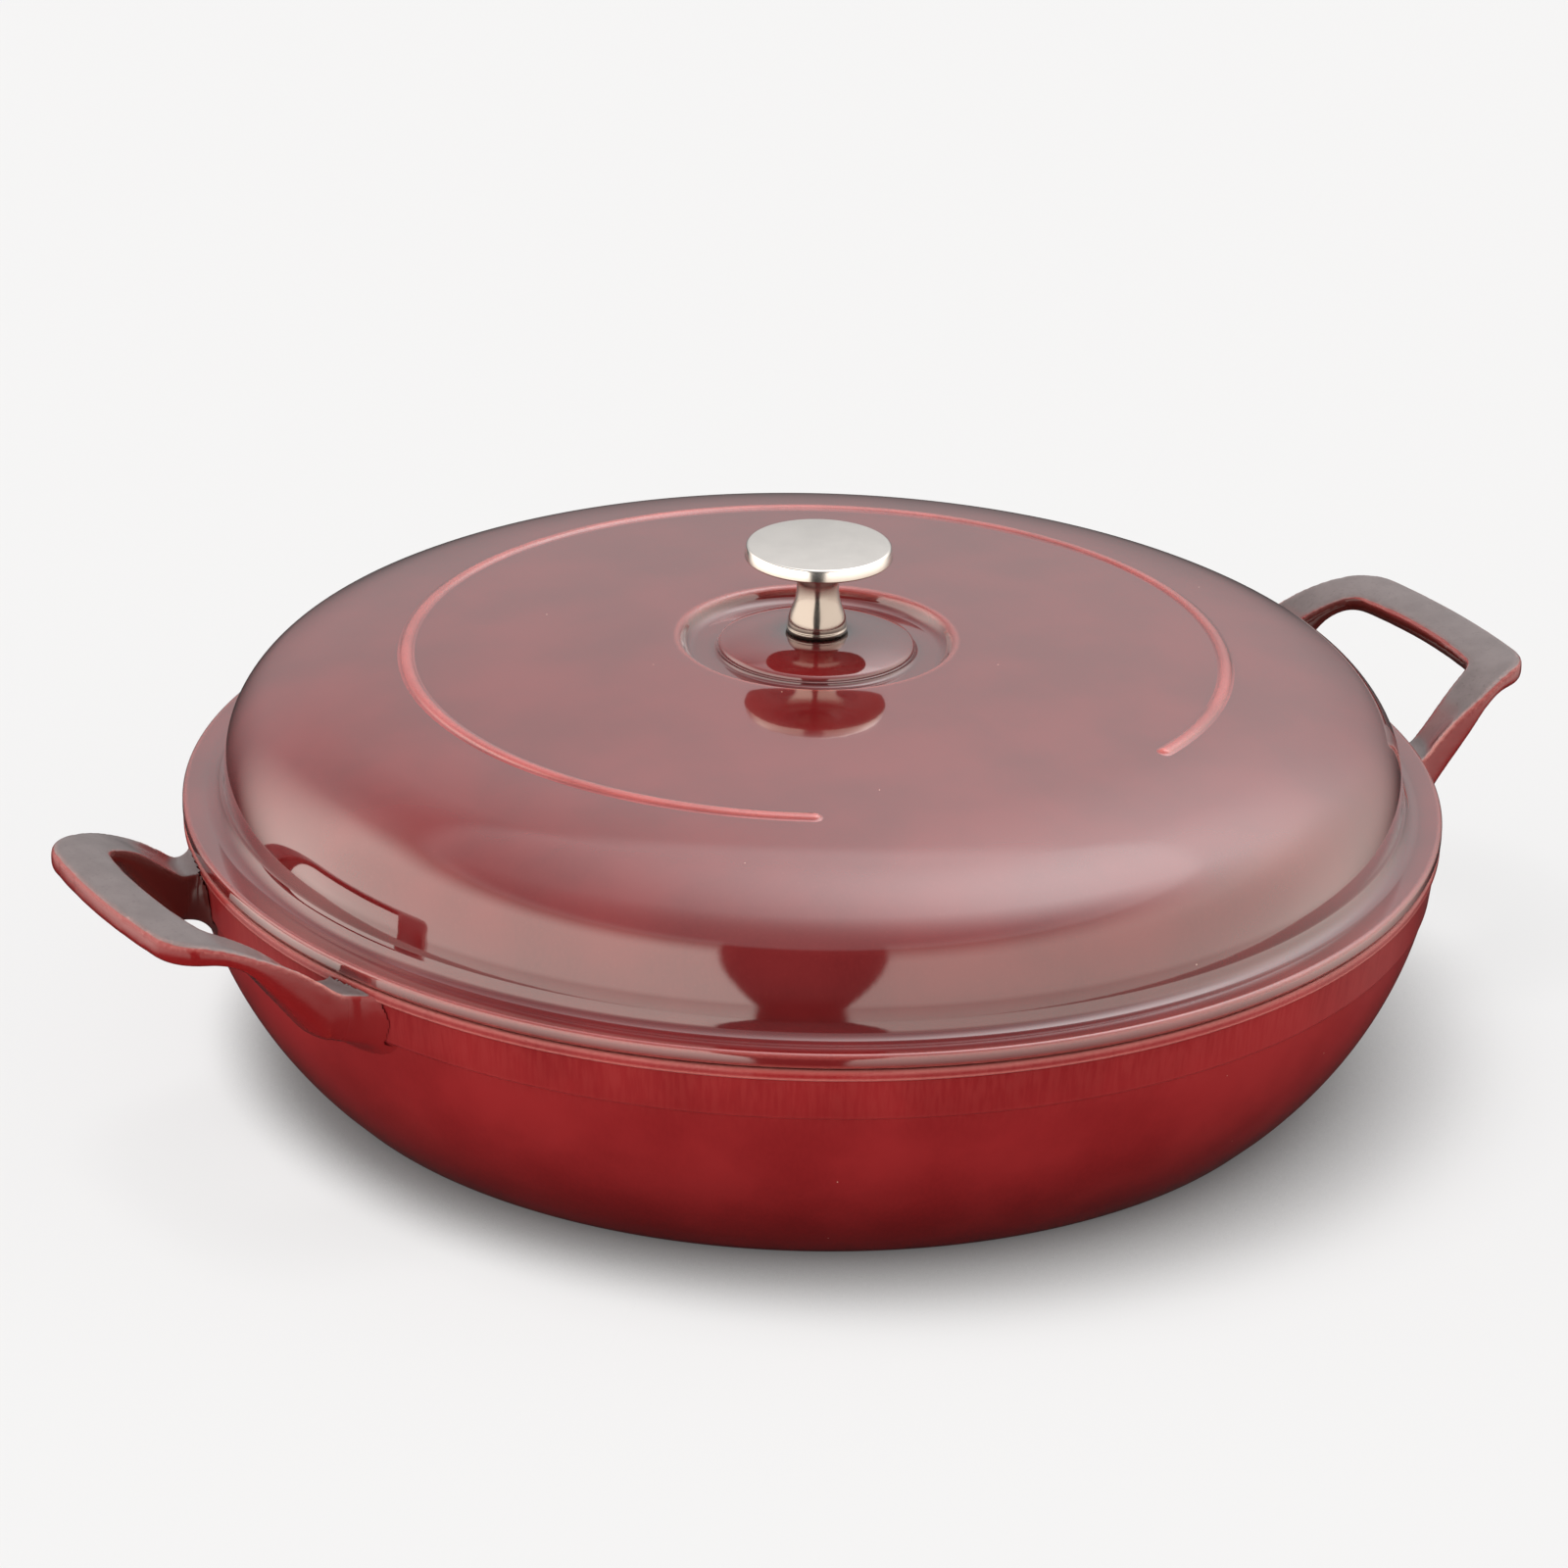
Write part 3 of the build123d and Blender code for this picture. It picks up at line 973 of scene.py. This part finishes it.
        mesh = bmesh.new()
        mesh.from_mesh(data)
        relax(mesh, mesh.verts, self.light_rounds)
        self.fair_roots(mesh)
        shallow, deep = self.blend_depths
        blend_top = self.rim.height - self.root_drop - self.blend_drop
        joint = [
            vert
            for vert in mesh.verts
            if shallow < self.proud(vert) < deep and vert.co.z / MM < blend_top
        ]
        relax(mesh, joint, self.blend_rounds)
        buried = [vert for vert in mesh.verts if self.proud(vert) < self.handle_clear]
        bmesh.ops.delete(mesh, geom=buried, context="VERTS")
        for vert in mesh.verts:
            depth = self.handle_dip - self.proud(vert)
            if depth > 0:
                pull_in(vert, depth * self.dip_share)
        return make_object(name, mesh)

    def fair_roots(self, mesh: bmesh.types.BMesh) -> None:
        """Draw the ends of a handle's legs out along the rim, ever flatter to the wall."""
        for vert in mesh.verts:
            height = self.proud(vert)
            turn = math.degrees(math.atan2(abs(vert.co.y), abs(vert.co.x)))
            share = ramp(turn, *self.fairing_turns) * ramp(height, *self.fairing_depths)
            if height > 0 and share and vert.co.z / MM > self.fairing_from:
                pull_in(vert, height * share)

    def build(self) -> list[bpy.types.Object]:
        """Build and dress the bowl and both handles."""
        glaze = RedGlaze(
            "bowl_glaze",
            deep=(0.215, 0.011, 0.013),
            cloud=(0.275, 0.017, 0.019),
            pooled_and_shaded=(0.06, 0.008, 0.009),
            coat_weight=0.55,
            coat_ior=1.42,
            base_ior=1.15,
            roughness=0.3,
            rim_edge_reach=0.9,
            # A bright pale edge colour: glaze that runs thinner, and a painted highlight along the
            # rim's round
            edge=(0.95, 0.42, 0.37),
            edge_strength=2.5,
            hollow_reach=2.0,
            hollow_strength=0.9,
            # Painted shade on the lower belly
            painted_foot_shade=0.4,
            belt_streaks=0.045,
            pale_from=self.rim.height - self.pale_height,
        ).make()
        bowl = self.build_bowl()
        bowl.data.materials.append(glaze)
        bowl.data.materials.append(BlackEnamel().make())
        pieces = [bowl]
        for name, side in (("pot_handle_right", 1), ("pot_handle_left", -1)):
            handle = self.build_handle(name, side)
            loop_middle = (side * self.loop_radius, 0.0, self.loop_height)
            glaze = HandleGlaze(name.replace("pot_handle", "handle_glaze"), loop_middle)
            handle.data.materials.append(glaze.make())
            pieces.append(handle)
        for piece in pieces:
            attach(piece, Body.POT.value)
        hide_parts("pot")
        return pieces


# Lid


@dataclass
class Lid:
    """The domed lid, its raised ring and the spikes under it."""

    rim: Rim = Rim()
    seat_gap: float = 0.3
    overhang: float = 0.1
    flange_thickness: float = 3.6
    flange_dish: float = 0.5
    flange_land: float = 5.6
    flange_top_round: float = 1.1
    flange_bottom_round: float = 0.8
    cove_radius: float = 4.0
    wall_inset: float = 9.7
    wall_rise: float = 10.45
    thickness: float = 4.0
    shoulder_radii: tuple[float, float, float] = (20.7, 55.8, 127.0)
    shoulder_turns: tuple[float, float, float] = (59.4, 15.0, 9.5)
    shoulder_step: float = 1.6
    crown_steps: int = 46
    lip_clearance: float = 1.2
    lip_width: float = 5.0
    lip_depth: float = 4.5
    lip_round: float = 1.2
    ring_inset: float = 52.95
    ring_opening: float = 56.0
    ring_opening_direction: float = -92.8
    ring_steps: int = 304
    ring_end_steps: int = 16
    ring_weld: float = 0.01
    ring_section: tuple[Point, ...] = (
        (0.0, 0.75), (0.45, 0.73), (0.8, 0.64),
        (1.1, 0.49), (1.3, 0.31), (1.5, 0.14),
        (1.75, 0.03), (2.1, -0.03), (2.4, -0.2),
    )
    trough_radius: float = 32.7
    trough_depth: float = 4.0
    trough_slope: float = 2.0
    trough_edge_lean: float = 0.25
    trough_edge_round: float = 1.6
    trough_floor_round: float = 3.0
    pad_radius: float = 23.4
    pad_height: float = 0.95
    pad_crown: float = 2.8
    pad_edge_round: float = 1.5
    pad_foot_round: float = 1.2
    seat_radius: float = 9.0
    hole_radius: float = 3.3
    boss_radius: float = 35.0
    boss_thickness: float = 4.4
    boss_round: float = 1.6
    spike_radius: float = 2.6
    spike_tip_radius: float = 1.0
    spike_height: float = 3.4
    spike_root: float = 2.0
    spike_sides: int = 20
    spike_bevel: float = 0.5
    spike_bevel_steps: int = 3
    spike_bevel_from: float = 40.0
    spike_rings: tuple[tuple[float, int], ...] = ((92.0, 19), (73.0, 15), (54.0, 11))

    def __post_init__(self) -> None:
        """Draw the dome's outer and inner line, from the wall's foot in to the centre."""
        self.flange_bottom = self.rim.height + self.seat_gap
        self.flange_top = self.flange_bottom + self.flange_thickness
        self.wall_radius = self.rim.radius - self.wall_inset
        place = Vector((self.wall_radius, self.rim.height + self.wall_rise))
        heading = 90.0
        self.outer: list[Point] = []
        self.inner: list[Point] = []
        crown_turn = 90.0 - sum(self.shoulder_turns)
        for radius, turn in zip((*self.shoulder_radii, 0.0), (*self.shoulder_turns, crown_turn)):
            steps = max(4, math.ceil(turn / self.shoulder_step))
            if not radius:
                radius = self.dome_radius = place.x / math.sin(math.radians(crown_turn))
                steps = self.crown_steps
            ahead = math.radians(heading)
            centre = place + Vector((-math.sin(ahead), math.cos(ahead))) * radius
            for line, size in ((self.outer, radius), (self.inner, radius - self.thickness)):
                lengthen(line, arc_points((centre.x, centre.y), size, heading - 90, turn, steps))
            place = Vector(self.outer[-1])
            heading += turn
        self.crown_height = self.outer[-1][1]
        self.dome_centre = self.crown_height - self.dome_radius
        self.trough_height = self.crown_height - self.trough_depth
        self.boss_height = self.trough_height - self.boss_thickness
        self.seat_height = self.crown_height + self.pad_height

    def top_line(self) -> list[Point]:
        """Draw the glazed line: flange, wall, shoulder, dome, trough and pad."""
        valley = self.flange_top - self.flange_dish
        flange_radius = self.rim.radius + self.overhang
        flange = rounded_line(
            [
                (self.rim.middle, self.flange_bottom, 0.0),
                (flange_radius, self.flange_bottom, self.flange_bottom_round),
                (flange_radius, self.flange_top, self.flange_top_round),
                (flange_radius - self.flange_land, valley, 0.6),
                (self.wall_radius + self.cove_radius, valley, 0.0),
            ],
            8,
        )
        cove_centre = (self.wall_radius + self.cove_radius, valley + self.cove_radius)
        cove = arc_points(cove_centre, self.cove_radius, 270.0, -90.0, 12)
        dome_from = self.trough_radius + 2 * self.trough_edge_round
        dome = [point for point in self.outer if point[0] > dome_from]
        trough_edge = self.trough_radius - self.trough_edge_lean
        trough_foot = self.trough_radius - self.trough_slope
        edge_height = line_height(self.outer, self.trough_radius)
        drop = self.pad_crown
        run = self.pad_radius - self.seat_radius
        pad_round = (run**2 + drop**2) / (2 * drop)
        pad_turn = math.degrees(math.asin(run / pad_round))
        pad_centre = (self.seat_radius, self.seat_height - pad_round)
        pad = arc_points(pad_centre, pad_round, 90 - pad_turn, pad_turn, 14)
        seat = rounded_line(
            [
                (*dome[-1], 0.0),
                (trough_edge, edge_height, self.trough_edge_round),
                (trough_foot, self.trough_height, self.trough_floor_round),
                (self.pad_radius, self.trough_height, self.pad_foot_round),
                (*pad[0], self.pad_edge_round),
                (*pad[2], 0.0),
            ],
            8,
        )
        hole = [(self.hole_radius, self.seat_height)]
        return flange + cove[1:] + dome[:-1] + seat + pad[3:] + hole

    def under_line(self) -> list[Point]:
        """Draw the black line: lip, wall, dome and boss from below, and the screw's hole."""
        lip_outer = self.rim.radius - self.rim.width - self.lip_clearance
        lip_inner = lip_outer - self.lip_width
        lip_bottom = self.flange_bottom - self.lip_depth
        lip = rounded_line(
            [
                (self.rim.middle, self.flange_bottom, 0.0),
                (lip_outer, self.flange_bottom, 0.3),
                (lip_outer, lip_bottom, self.lip_round),
                (lip_inner, lip_bottom, self.lip_round),
                (lip_inner, self.flange_bottom, 0.3),
                (self.wall_radius - self.thickness, self.flange_bottom, 0.6),
                self.inner[0] + (0.0,),
            ]
        )
        dome = [point for point in self.inner if point[0] > self.boss_radius + 2 * self.boss_round]
        boss = rounded_line(
            [
                (*dome[-1], 0.0),
                (self.boss_radius, line_height(self.inner, self.boss_radius), self.boss_round),
                (self.boss_radius, self.boss_height, self.boss_round),
                (self.hole_radius, self.boss_height, 0.0),
                (self.hole_radius, self.seat_height, 0.0),
            ]
        )
        return lip + dome[1:-1] + boss

    def build_shell(self) -> bpy.types.Object:
        """Turn the shell: glazed above, black below."""
        shell = Turning("lid_shell", sector_steps=20)
        shell.add_line(self.top_line(), 0)
        shell.add_line(self.under_line(), 1)
        return shell.finish()

    def build_ring(self) -> bpy.types.Object:
        """Sweep the raised ring round the dome and close both of its ends with half turns."""
        radius = self.rim.radius - self.ring_inset
        lean = math.asin(radius / self.dome_radius)
        outward = Vector((math.cos(lean), 0.0, -math.sin(lean)))
        upright = Vector((math.sin(lean), 0.0, math.cos(lean)))
        foot = Vector((radius, 0.0, self.dome_centre + self.dome_radius * math.cos(lean)))
        sweep = math.radians(360.0 - self.ring_opening)
        mesh = bmesh.new()

        def draw(section: list[Point], turn: float) -> Chain:
            """Draw a section of the ring at an angle round the lid."""
            around = Matrix.Rotation(turn, 3, "Z")
            spots = [foot + outward * across + upright * rise for across, rise in section]
            return draw_chain(mesh, [around @ spot * MM for spot in spots])

        half = list(self.ring_section)
        full = [(-across, rise) for across, rise in reversed(half[1:])] + half
        line = draw(full, 0.0)
        bmesh.ops.spin(mesh, geom=line, axis=(0, 0, 1), angle=sweep, steps=self.ring_steps)
        for turn, way in ((0.0, -1), (sweep, 1)):
            around = Matrix.Rotation(turn, 3, "Z")
            bmesh.ops.spin(
                mesh,
                geom=draw(half, turn),
                cent=around @ foot * MM,
                axis=around @ upright,
                angle=way * math.pi,
                steps=self.ring_end_steps,
            )
        bmesh.ops.remove_doubles(mesh, verts=mesh.verts, dist=self.ring_weld * MM)
        start = math.radians(self.ring_opening_direction + self.ring_opening / 2)
        bmesh.ops.rotate(mesh, verts=mesh.verts, matrix=Matrix.Rotation(start, 3, "Z"))
        bmesh.ops.recalc_face_normals(mesh, faces=mesh.faces)
        if sum(face.normal.z * face.calc_area() for face in mesh.faces) < 0:
            bmesh.ops.reverse_faces(mesh, faces=mesh.faces)
        return make_object("lid_ring", mesh)

    def build_spikes(self) -> bpy.types.Object:
        """Set the blunt cones square to the dome inside it."""
        mesh = bmesh.new()
        depth = self.spike_root + self.spike_height
        under = self.dome_radius - self.thickness
        lift = Matrix.Translation((0.0, 0.0, self.dome_centre * MM))
        out = Matrix.Translation((0.0, 0.0, (under + self.spike_root - depth / 2) * MM))
        for radius, count in self.spike_rings:
            tilt = Matrix.Rotation(math.asin(radius / under), 4, "Y")
            for number in range(count):
                around = Matrix.Rotation(math.tau * number / count, 4, "Z")
                bmesh.ops.create_cone(
                    mesh,
                    cap_ends=True,
                    segments=self.spike_sides,
                    radius1=self.spike_tip_radius * MM,
                    radius2=self.spike_radius * MM,
                    depth=depth * MM,
                    matrix=lift @ around @ tilt @ out,
                )
        sharp = math.radians(self.spike_bevel_from)
        bmesh.ops.bevel(
            mesh,
            geom=[edge for edge in mesh.edges if edge.calc_face_angle(0.0) > sharp],
            offset=self.spike_bevel * MM,
            offset_type="OFFSET",
            affect="EDGES",
            segments=self.spike_bevel_steps,
            profile=0.5,
            material=-1,
        )
        return make_object("lid_spikes", mesh)

    def build(self) -> list[bpy.types.Object]:
        """Build and dress the shell, the ring and the spikes."""
        # Strong painted shade in the lid's hollows, and painted highlights with thinner glaze on
        # its and the ring's edges
        glaze = RedGlaze("lid_glaze", hollow_reach=5.0, hollow_strength=1.9, pad_radius=25.5)
        ring_glaze = RedGlaze("ring_glaze", deep=(0.3, 0.04, 0.04), edge_strength=3.5)
        black = BlackEnamel("lid_black_enamel").make()
        shell = self.build_shell()
        shell.data.materials.append(glaze.make())
        shell.data.materials.append(black)
        ring = self.build_ring()
        ring.data.materials.append(ring_glaze.make())
        spikes = self.build_spikes()
        spikes.data.materials.append(black)
        pieces = [shell, ring, spikes]
        for piece in pieces:
            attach(piece, Body.LID.value)
        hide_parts("lid")
        return pieces


@dataclass
class Fittings:
    """The knob, turned from a line of its own, and its screw and washer, whose CAD shapes stay."""

    seat_height: float = 103.611
    knob_radius: float = 17.6
    knob_height: float = 21.8
    disc_thickness: float = 3.2
    disc_taper: float = 0.5
    neck: Point = (8.8, 0.75)
    stem: tuple[Corner, ...] = (
        (7.15, 0.0, 0.0), (7.15, 1.2, 0.25), (6.85, 1.35, 0.0),
        (6.95, 1.7, 0.0), (6.95, 2.7, 0.0), (6.75, 3.9, 0.0),
        (6.3, 5.3, 0.0), (5.7, 6.9, 0.0), (5.25, 8.6, 0.0),
        (5.02, 10.4, 0.0), (5.0, 12.2, 0.0), (5.2, 14.0, 0.0),
        (5.7, 15.7, 0.0), (6.7, 17.2, 0.0),
    )

    def build_knob(self) -> bpy.types.Object:
        """Turn the knob: a flat disc with soft edges on a waisted stem that flares to its foot."""
        top = self.seat_height + self.knob_height
        below = top - self.disc_thickness
        seat = self.seat_height
        stem = [(across, seat + rise, size) for across, rise, size in self.stem]
        disc = [
            (self.neck[0], below + self.neck[1], 0.0),
            (self.knob_radius, below, 0.4),
            (self.knob_radius - self.disc_taper, top, 0.7),
            (0.0, top, 0.0),
        ]
        turning = Turning("knob_turned")
        turning.add_line([(0.0, seat)] + rounded_line(stem + disc, 8))
        return turning.finish()

    def build(self) -> list[bpy.types.Object]:
        """Turn and dress the knob, and give the screw and the washer their steel."""
        knob = self.build_knob()
        knob.data.materials.append(Nickel().make())
        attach(knob, Body.LID.value)
        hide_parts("knob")
        pieces = [knob]
        for node, name in (("screw_washer", "washer_steel"), ("knob_screw", "screw_steel")):
            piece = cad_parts[node]
            material = PlainSteel(name).make()
            for slot in piece.material_slots:
                slot.material = material
            pieces.append(piece)
        return pieces


# Studio


@dataclass(frozen=True)
class Studio:
    """The camera of the photograph, the pale floor and the soft boxes around.

    The camera's place and the floor's size are metres, the shadow's span and reaches millimetres
    and angles degrees. The lights' azimuths are 0 behind the pot and positive on the photograph's
    right.
    """

    camera_place: Point3 = (-0.8137, -1.3469, 0.7376)
    camera_heading: float = -30.887
    camera_drop: float = 23.18
    camera_roll: float = 1.39
    focal_length: float = 164.5
    sensor_width: float = 36.0
    clip_end: float = 100.0
    floor_size: float = 14.0
    floor_colour: Colour = (0.61, 0.61, 0.615)
    paper_colour: Colour = (0.89, 0.89, 0.89)
    paper_share: float = 0.78
    shadow_colour: Colour = (0.1, 0.1, 0.102)
    shadow_span: Span = (-160.0, 160.0)
    shadow_reaches: Span = (22.0, 52.0)
    shadow_range: Span = (0.12, 0.88)
    shadow_samples: int = 16
    level: float = 0.28
    ground_elevations: Span = (-30.0, 0.0)
    ground_light: Span = (0.1, 0.35)
    ceiling_elevations: Span = (47.0, 51.0)
    ceiling_light: float = 1.3
    back_azimuths: Span = (35.0, 80.0)
    back_foot: Span = (-20.0, 24.0)
    back_top: Span = (32.0, 58.0)
    back_light: float = 1.7
    high_light: float = 9.6
    high_width: float = 28.0
    high_azimuth: float = 45.0
    high_elevation: float = 62.0
    high_share: float = 0.2
    side_light: float = 5.8
    side_colour: Colour = (1.0, 0.92, 0.84)
    side_lean: float = 0.15
    side_lean_from: float = -25.0
    left_near_edge: Span = (-171.5, -169.5)
    left_far_edge: Span = (-76.0, -34.0)
    left_top: Span = (34.0, 56.0)
    left_share: float = 1.32
    right_near_edge: Span = (172.0, 174.0)
    right_far_edge: Span = (22.0, 78.0)
    right_top: Span = (30.0, 60.0)
    table_elevations: Span = (-36.0, -18.0)
    table_dark: float = 0.03
    key_azimuth: float = -75.0
    key_elevation: float = 74.0
    key_softness: float = 34.0
    key_light: float = 0.7

    def place_camera(self) -> None:
        """Stand the camera where the photograph was taken."""
        data = bpy.data.cameras.new("camera")
        data.lens = self.focal_length
        data.sensor_width = self.sensor_width
        data.clip_end = self.clip_end
        camera = bpy.data.objects.new("camera", data)
        bpy.context.scene.collection.objects.link(camera)
        turn = Matrix.Rotation(math.radians(self.camera_heading), 4, "Z")
        drop = Matrix.Rotation(math.radians(90.0 - self.camera_drop), 4, "X")
        roll = Matrix.Rotation(math.radians(self.camera_roll), 4, "Z")
        camera.matrix_world = Matrix.Translation(self.camera_place) @ turn @ drop @ roll
        bpy.context.scene.camera = camera

    def lay_floor(self) -> None:
        """Lay a wide pale floor, close to white for the camera, with a painted shadow only round
        the pot's foot.

        Most of what the camera sees of it glows, darkened into a painted shadow by ambient
        occlusion with a reach that grows from the photograph's left to its right. From below it is
        clear.
        """
        mesh = bmesh.new()
        bmesh.ops.create_grid(mesh, x_segments=1, y_segments=1, size=self.floor_size / 2)
        floor = make_object("floor", mesh)
        recipe = Recipe("floor_paper")
        heading = math.radians(self.camera_heading)
        to_right = (math.cos(heading), math.sin(heading), 0.0)
        position = recipe.read("ShaderNodeNewGeometry", "Position")
        across = recipe.vector("DOT_PRODUCT", "Value", position, to_right)
        reaches = tuple(reach * MM for reach in self.shadow_reaches)
        feeds = {"Distance": recipe.over(across, self.shadow_span, reaches)}
        shelter = recipe.node("ShaderNodeAmbientOcclusion", feeds, samples=self.shadow_samples)
        open_share = recipe.fade(shelter.outputs["AO"], self.shadow_range)
        # Painted shadow: the paper's colour darkens towards the shadow colour where ambient
        # occlusion finds the pot
        shade = recipe.blend(open_share, self.shadow_colour, self.paper_colour)
        painted_shadow_glow = recipe.node("ShaderNodeEmission", {"Color": shade}).outputs[0]
        paper = recipe.node("ShaderNodeBsdfDiffuse", {"Color": self.floor_colour}).outputs[0]
        seen = recipe.read("ShaderNodeLightPath", "Is Camera Ray")
        above = recipe.mix(recipe.product(seen, self.paper_share), paper, painted_shadow_glow)
        clear = recipe.read("ShaderNodeBsdfTransparent", "BSDF")
        back = recipe.read("ShaderNodeNewGeometry", "Backfacing")
        recipe.node("ShaderNodeOutputMaterial", {"Surface": recipe.mix(back, above, clear)})
        floor.data.materials.append(recipe.material)
        floor.visible_glossy = False

    def high_glow(self, sky: Nodes, way: Socket) -> Socket:
        """Paint the high light behind on the right, which fades with the angle from its middle.

        Args:
            sky: The world's nodes.
            way: Direction that is looked in, X to the photograph's right and Y away.

        Returns:
            The socket with its strength, weaker where it lights than where it is mirrored.
        """
        level = math.radians(self.high_elevation)
        turn = math.radians(self.high_azimuth)
        flat = math.cos(level)
        middle = (math.sin(turn) * flat, math.cos(turn) * flat, math.sin(level))
        off = sky.calc("ARCCOSINE", sky.vector("DOT_PRODUCT", "Value", way, middle))
        off = sky.product(off, math.degrees(1.0) / self.high_width)
        bell = sky.calc("EXPONENT", sky.product(off, off, -1.0))
        mirrored = sky.read("ShaderNodeLightPath", "Is Glossy Ray")
        share = sky.total(sky.product(mirrored, 1.0 - self.high_share), self.high_share)
        return sky.product(bell, self.high_light, share)

    def side_boxes(self, sky: Nodes, azimuth: Socket, elevation: Socket) -> Socket:
        """Paint the two soft boxes that reach from beside the camera round to the sides.

        They stand on a dark shining table, which mirrors them for a while below the horizon. Their
        edges near the camera are sharp and lean apart, the far ones and the tops are soft.

        Args:
            sky: The world's nodes.
            azimuth: Azimuth that is looked in.
            elevation: Elevation that is looked in.

        Returns:
            The socket with their strength.
        """
        above = sky.calc("ABSOLUTE", elevation)
        lean = sky.calc("MAXIMUM", sky.total(elevation, -self.side_lean_from), 0.0)
        lean = sky.product(lean, self.side_lean)
        left = sky.product(
            sky.fade(sky.calc("SUBTRACT", azimuth, lean), self.left_near_edge),
            sky.fade(azimuth, self.left_far_edge, FALLING),
            self.left_share,
            sky.fade(above, self.left_top, FALLING),
        )
        right = sky.product(
            sky.fade(azimuth, self.right_far_edge),
            sky.fade(sky.total(azimuth, lean), self.right_near_edge, FALLING),
            sky.fade(above, self.right_top, FALLING),
        )
        table = sky.fade(elevation, self.table_elevations, (self.table_dark, 1.0))
        return sky.product(sky.total(left, right), table)

    def room_glow(self, sky: Nodes, azimuth: Socket, elevation: Socket) -> tuple[Socket, Socket]:
        """Paint the wall behind, low and in the middle, and the ceiling with the ground.

        Args:
            sky: The world's nodes.
            azimuth: Azimuth that is looked in.
            elevation: Elevation that is looked in.

        Returns:
            The sockets with the strength of the wall, and of ceiling and ground.
        """
        wall = sky.product(
            sky.fade(sky.calc("ABSOLUTE", azimuth), self.back_azimuths, FALLING),
            sky.fade(elevation, self.back_foot),
            sky.fade(elevation, self.back_top, FALLING),
        )
        ceiling = sky.fade(elevation, self.ceiling_elevations, (0.0, self.ceiling_light))
        ground = sky.fade(elevation, self.ground_elevations, self.ground_light)
        return sky.product(wall, self.back_light), sky.total(ceiling, ground)

    def light(self) -> None:
        """Paint the room by direction, and for the camera the same paper as on the floor."""
        world = bpy.data.worlds.new("studio")
        bpy.context.scene.world = world
        world.use_nodes = True
        sky = Nodes(world.node_tree)
        feeds = {
            "Angle": math.radians(-self.camera_heading),
            "Vector": sky.read("ShaderNodeTexCoord", "Generated"),
        }
        way = sky.node("ShaderNodeVectorRotate", feeds, rotation_type="Z_AXIS").outputs["Vector"]
        to_right, away, up = sky.split(way)
        azimuth = sky.product(sky.calc("ARCTAN2", to_right, away), math.degrees(1.0))
        elevation = sky.product(sky.calc("ARCSINE", up), math.degrees(1.0))
        wall, room = self.room_glow(sky, azimuth, elevation)
        white = sky.total(self.high_glow(sky, way), wall, room)
        sides = self.side_boxes(sky, azimuth, elevation)
        levels = [self.side_light * part for part in self.side_colour]
        parts = [sky.total(white, sky.product(sides, level)) for level in levels]
        colour = sky.node("ShaderNodeCombineXYZ", dict(enumerate(parts))).outputs[0]
        feeds = {"Color": colour, "Strength": self.level}
        painted = sky.node("ShaderNodeBackground", feeds).outputs[0]
        paper = sky.node("ShaderNodeBackground", {"Color": self.paper_colour}).outputs[0]
        seen = sky.read("ShaderNodeLightPath", "Is Camera Ray")
        sky.node("ShaderNodeOutputWorld", {0: sky.mix(seen, painted, paper)})

    def hang_key_light(self) -> None:
        """Hang one soft lamp high on the left, which gives the shadow its side."""
        data = bpy.data.lights.new("key_light", "SUN")
        data.angle = math.radians(self.key_softness)
        data.energy = self.key_light * math.pi / math.sin(math.radians(self.key_elevation))
        lamp = bpy.data.objects.new("key_light", data)
        lamp.visible_glossy = False
        bpy.context.scene.collection.objects.link(lamp)
        turn = Matrix.Rotation(math.radians(self.camera_heading - self.key_azimuth), 4, "Z")
        tilt = Matrix.Rotation(math.radians(self.key_elevation - 90.0), 4, "X")
        lamp.matrix_world = turn @ tilt

    def set_view(self) -> None:
        """Show colours as they are."""
        bpy.context.scene.view_settings.view_transform = "Standard"

    def build(self) -> None:
        """Set up camera, floor and light."""
        self.place_camera()
        self.lay_floor()
        self.light()
        self.hang_key_light()
        self.set_view()


def main() -> None:
    """Build the pot, the lid, the fittings and the studio, and note the sizes."""
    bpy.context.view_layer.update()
    for maker in (Pot().build, Lid().build, Fittings().build):
        for piece in maker():
            log.info("%s: %d faces", piece.name, len(piece.data.polygons))
    Studio().build()


if __name__ == "__main__":
    main()
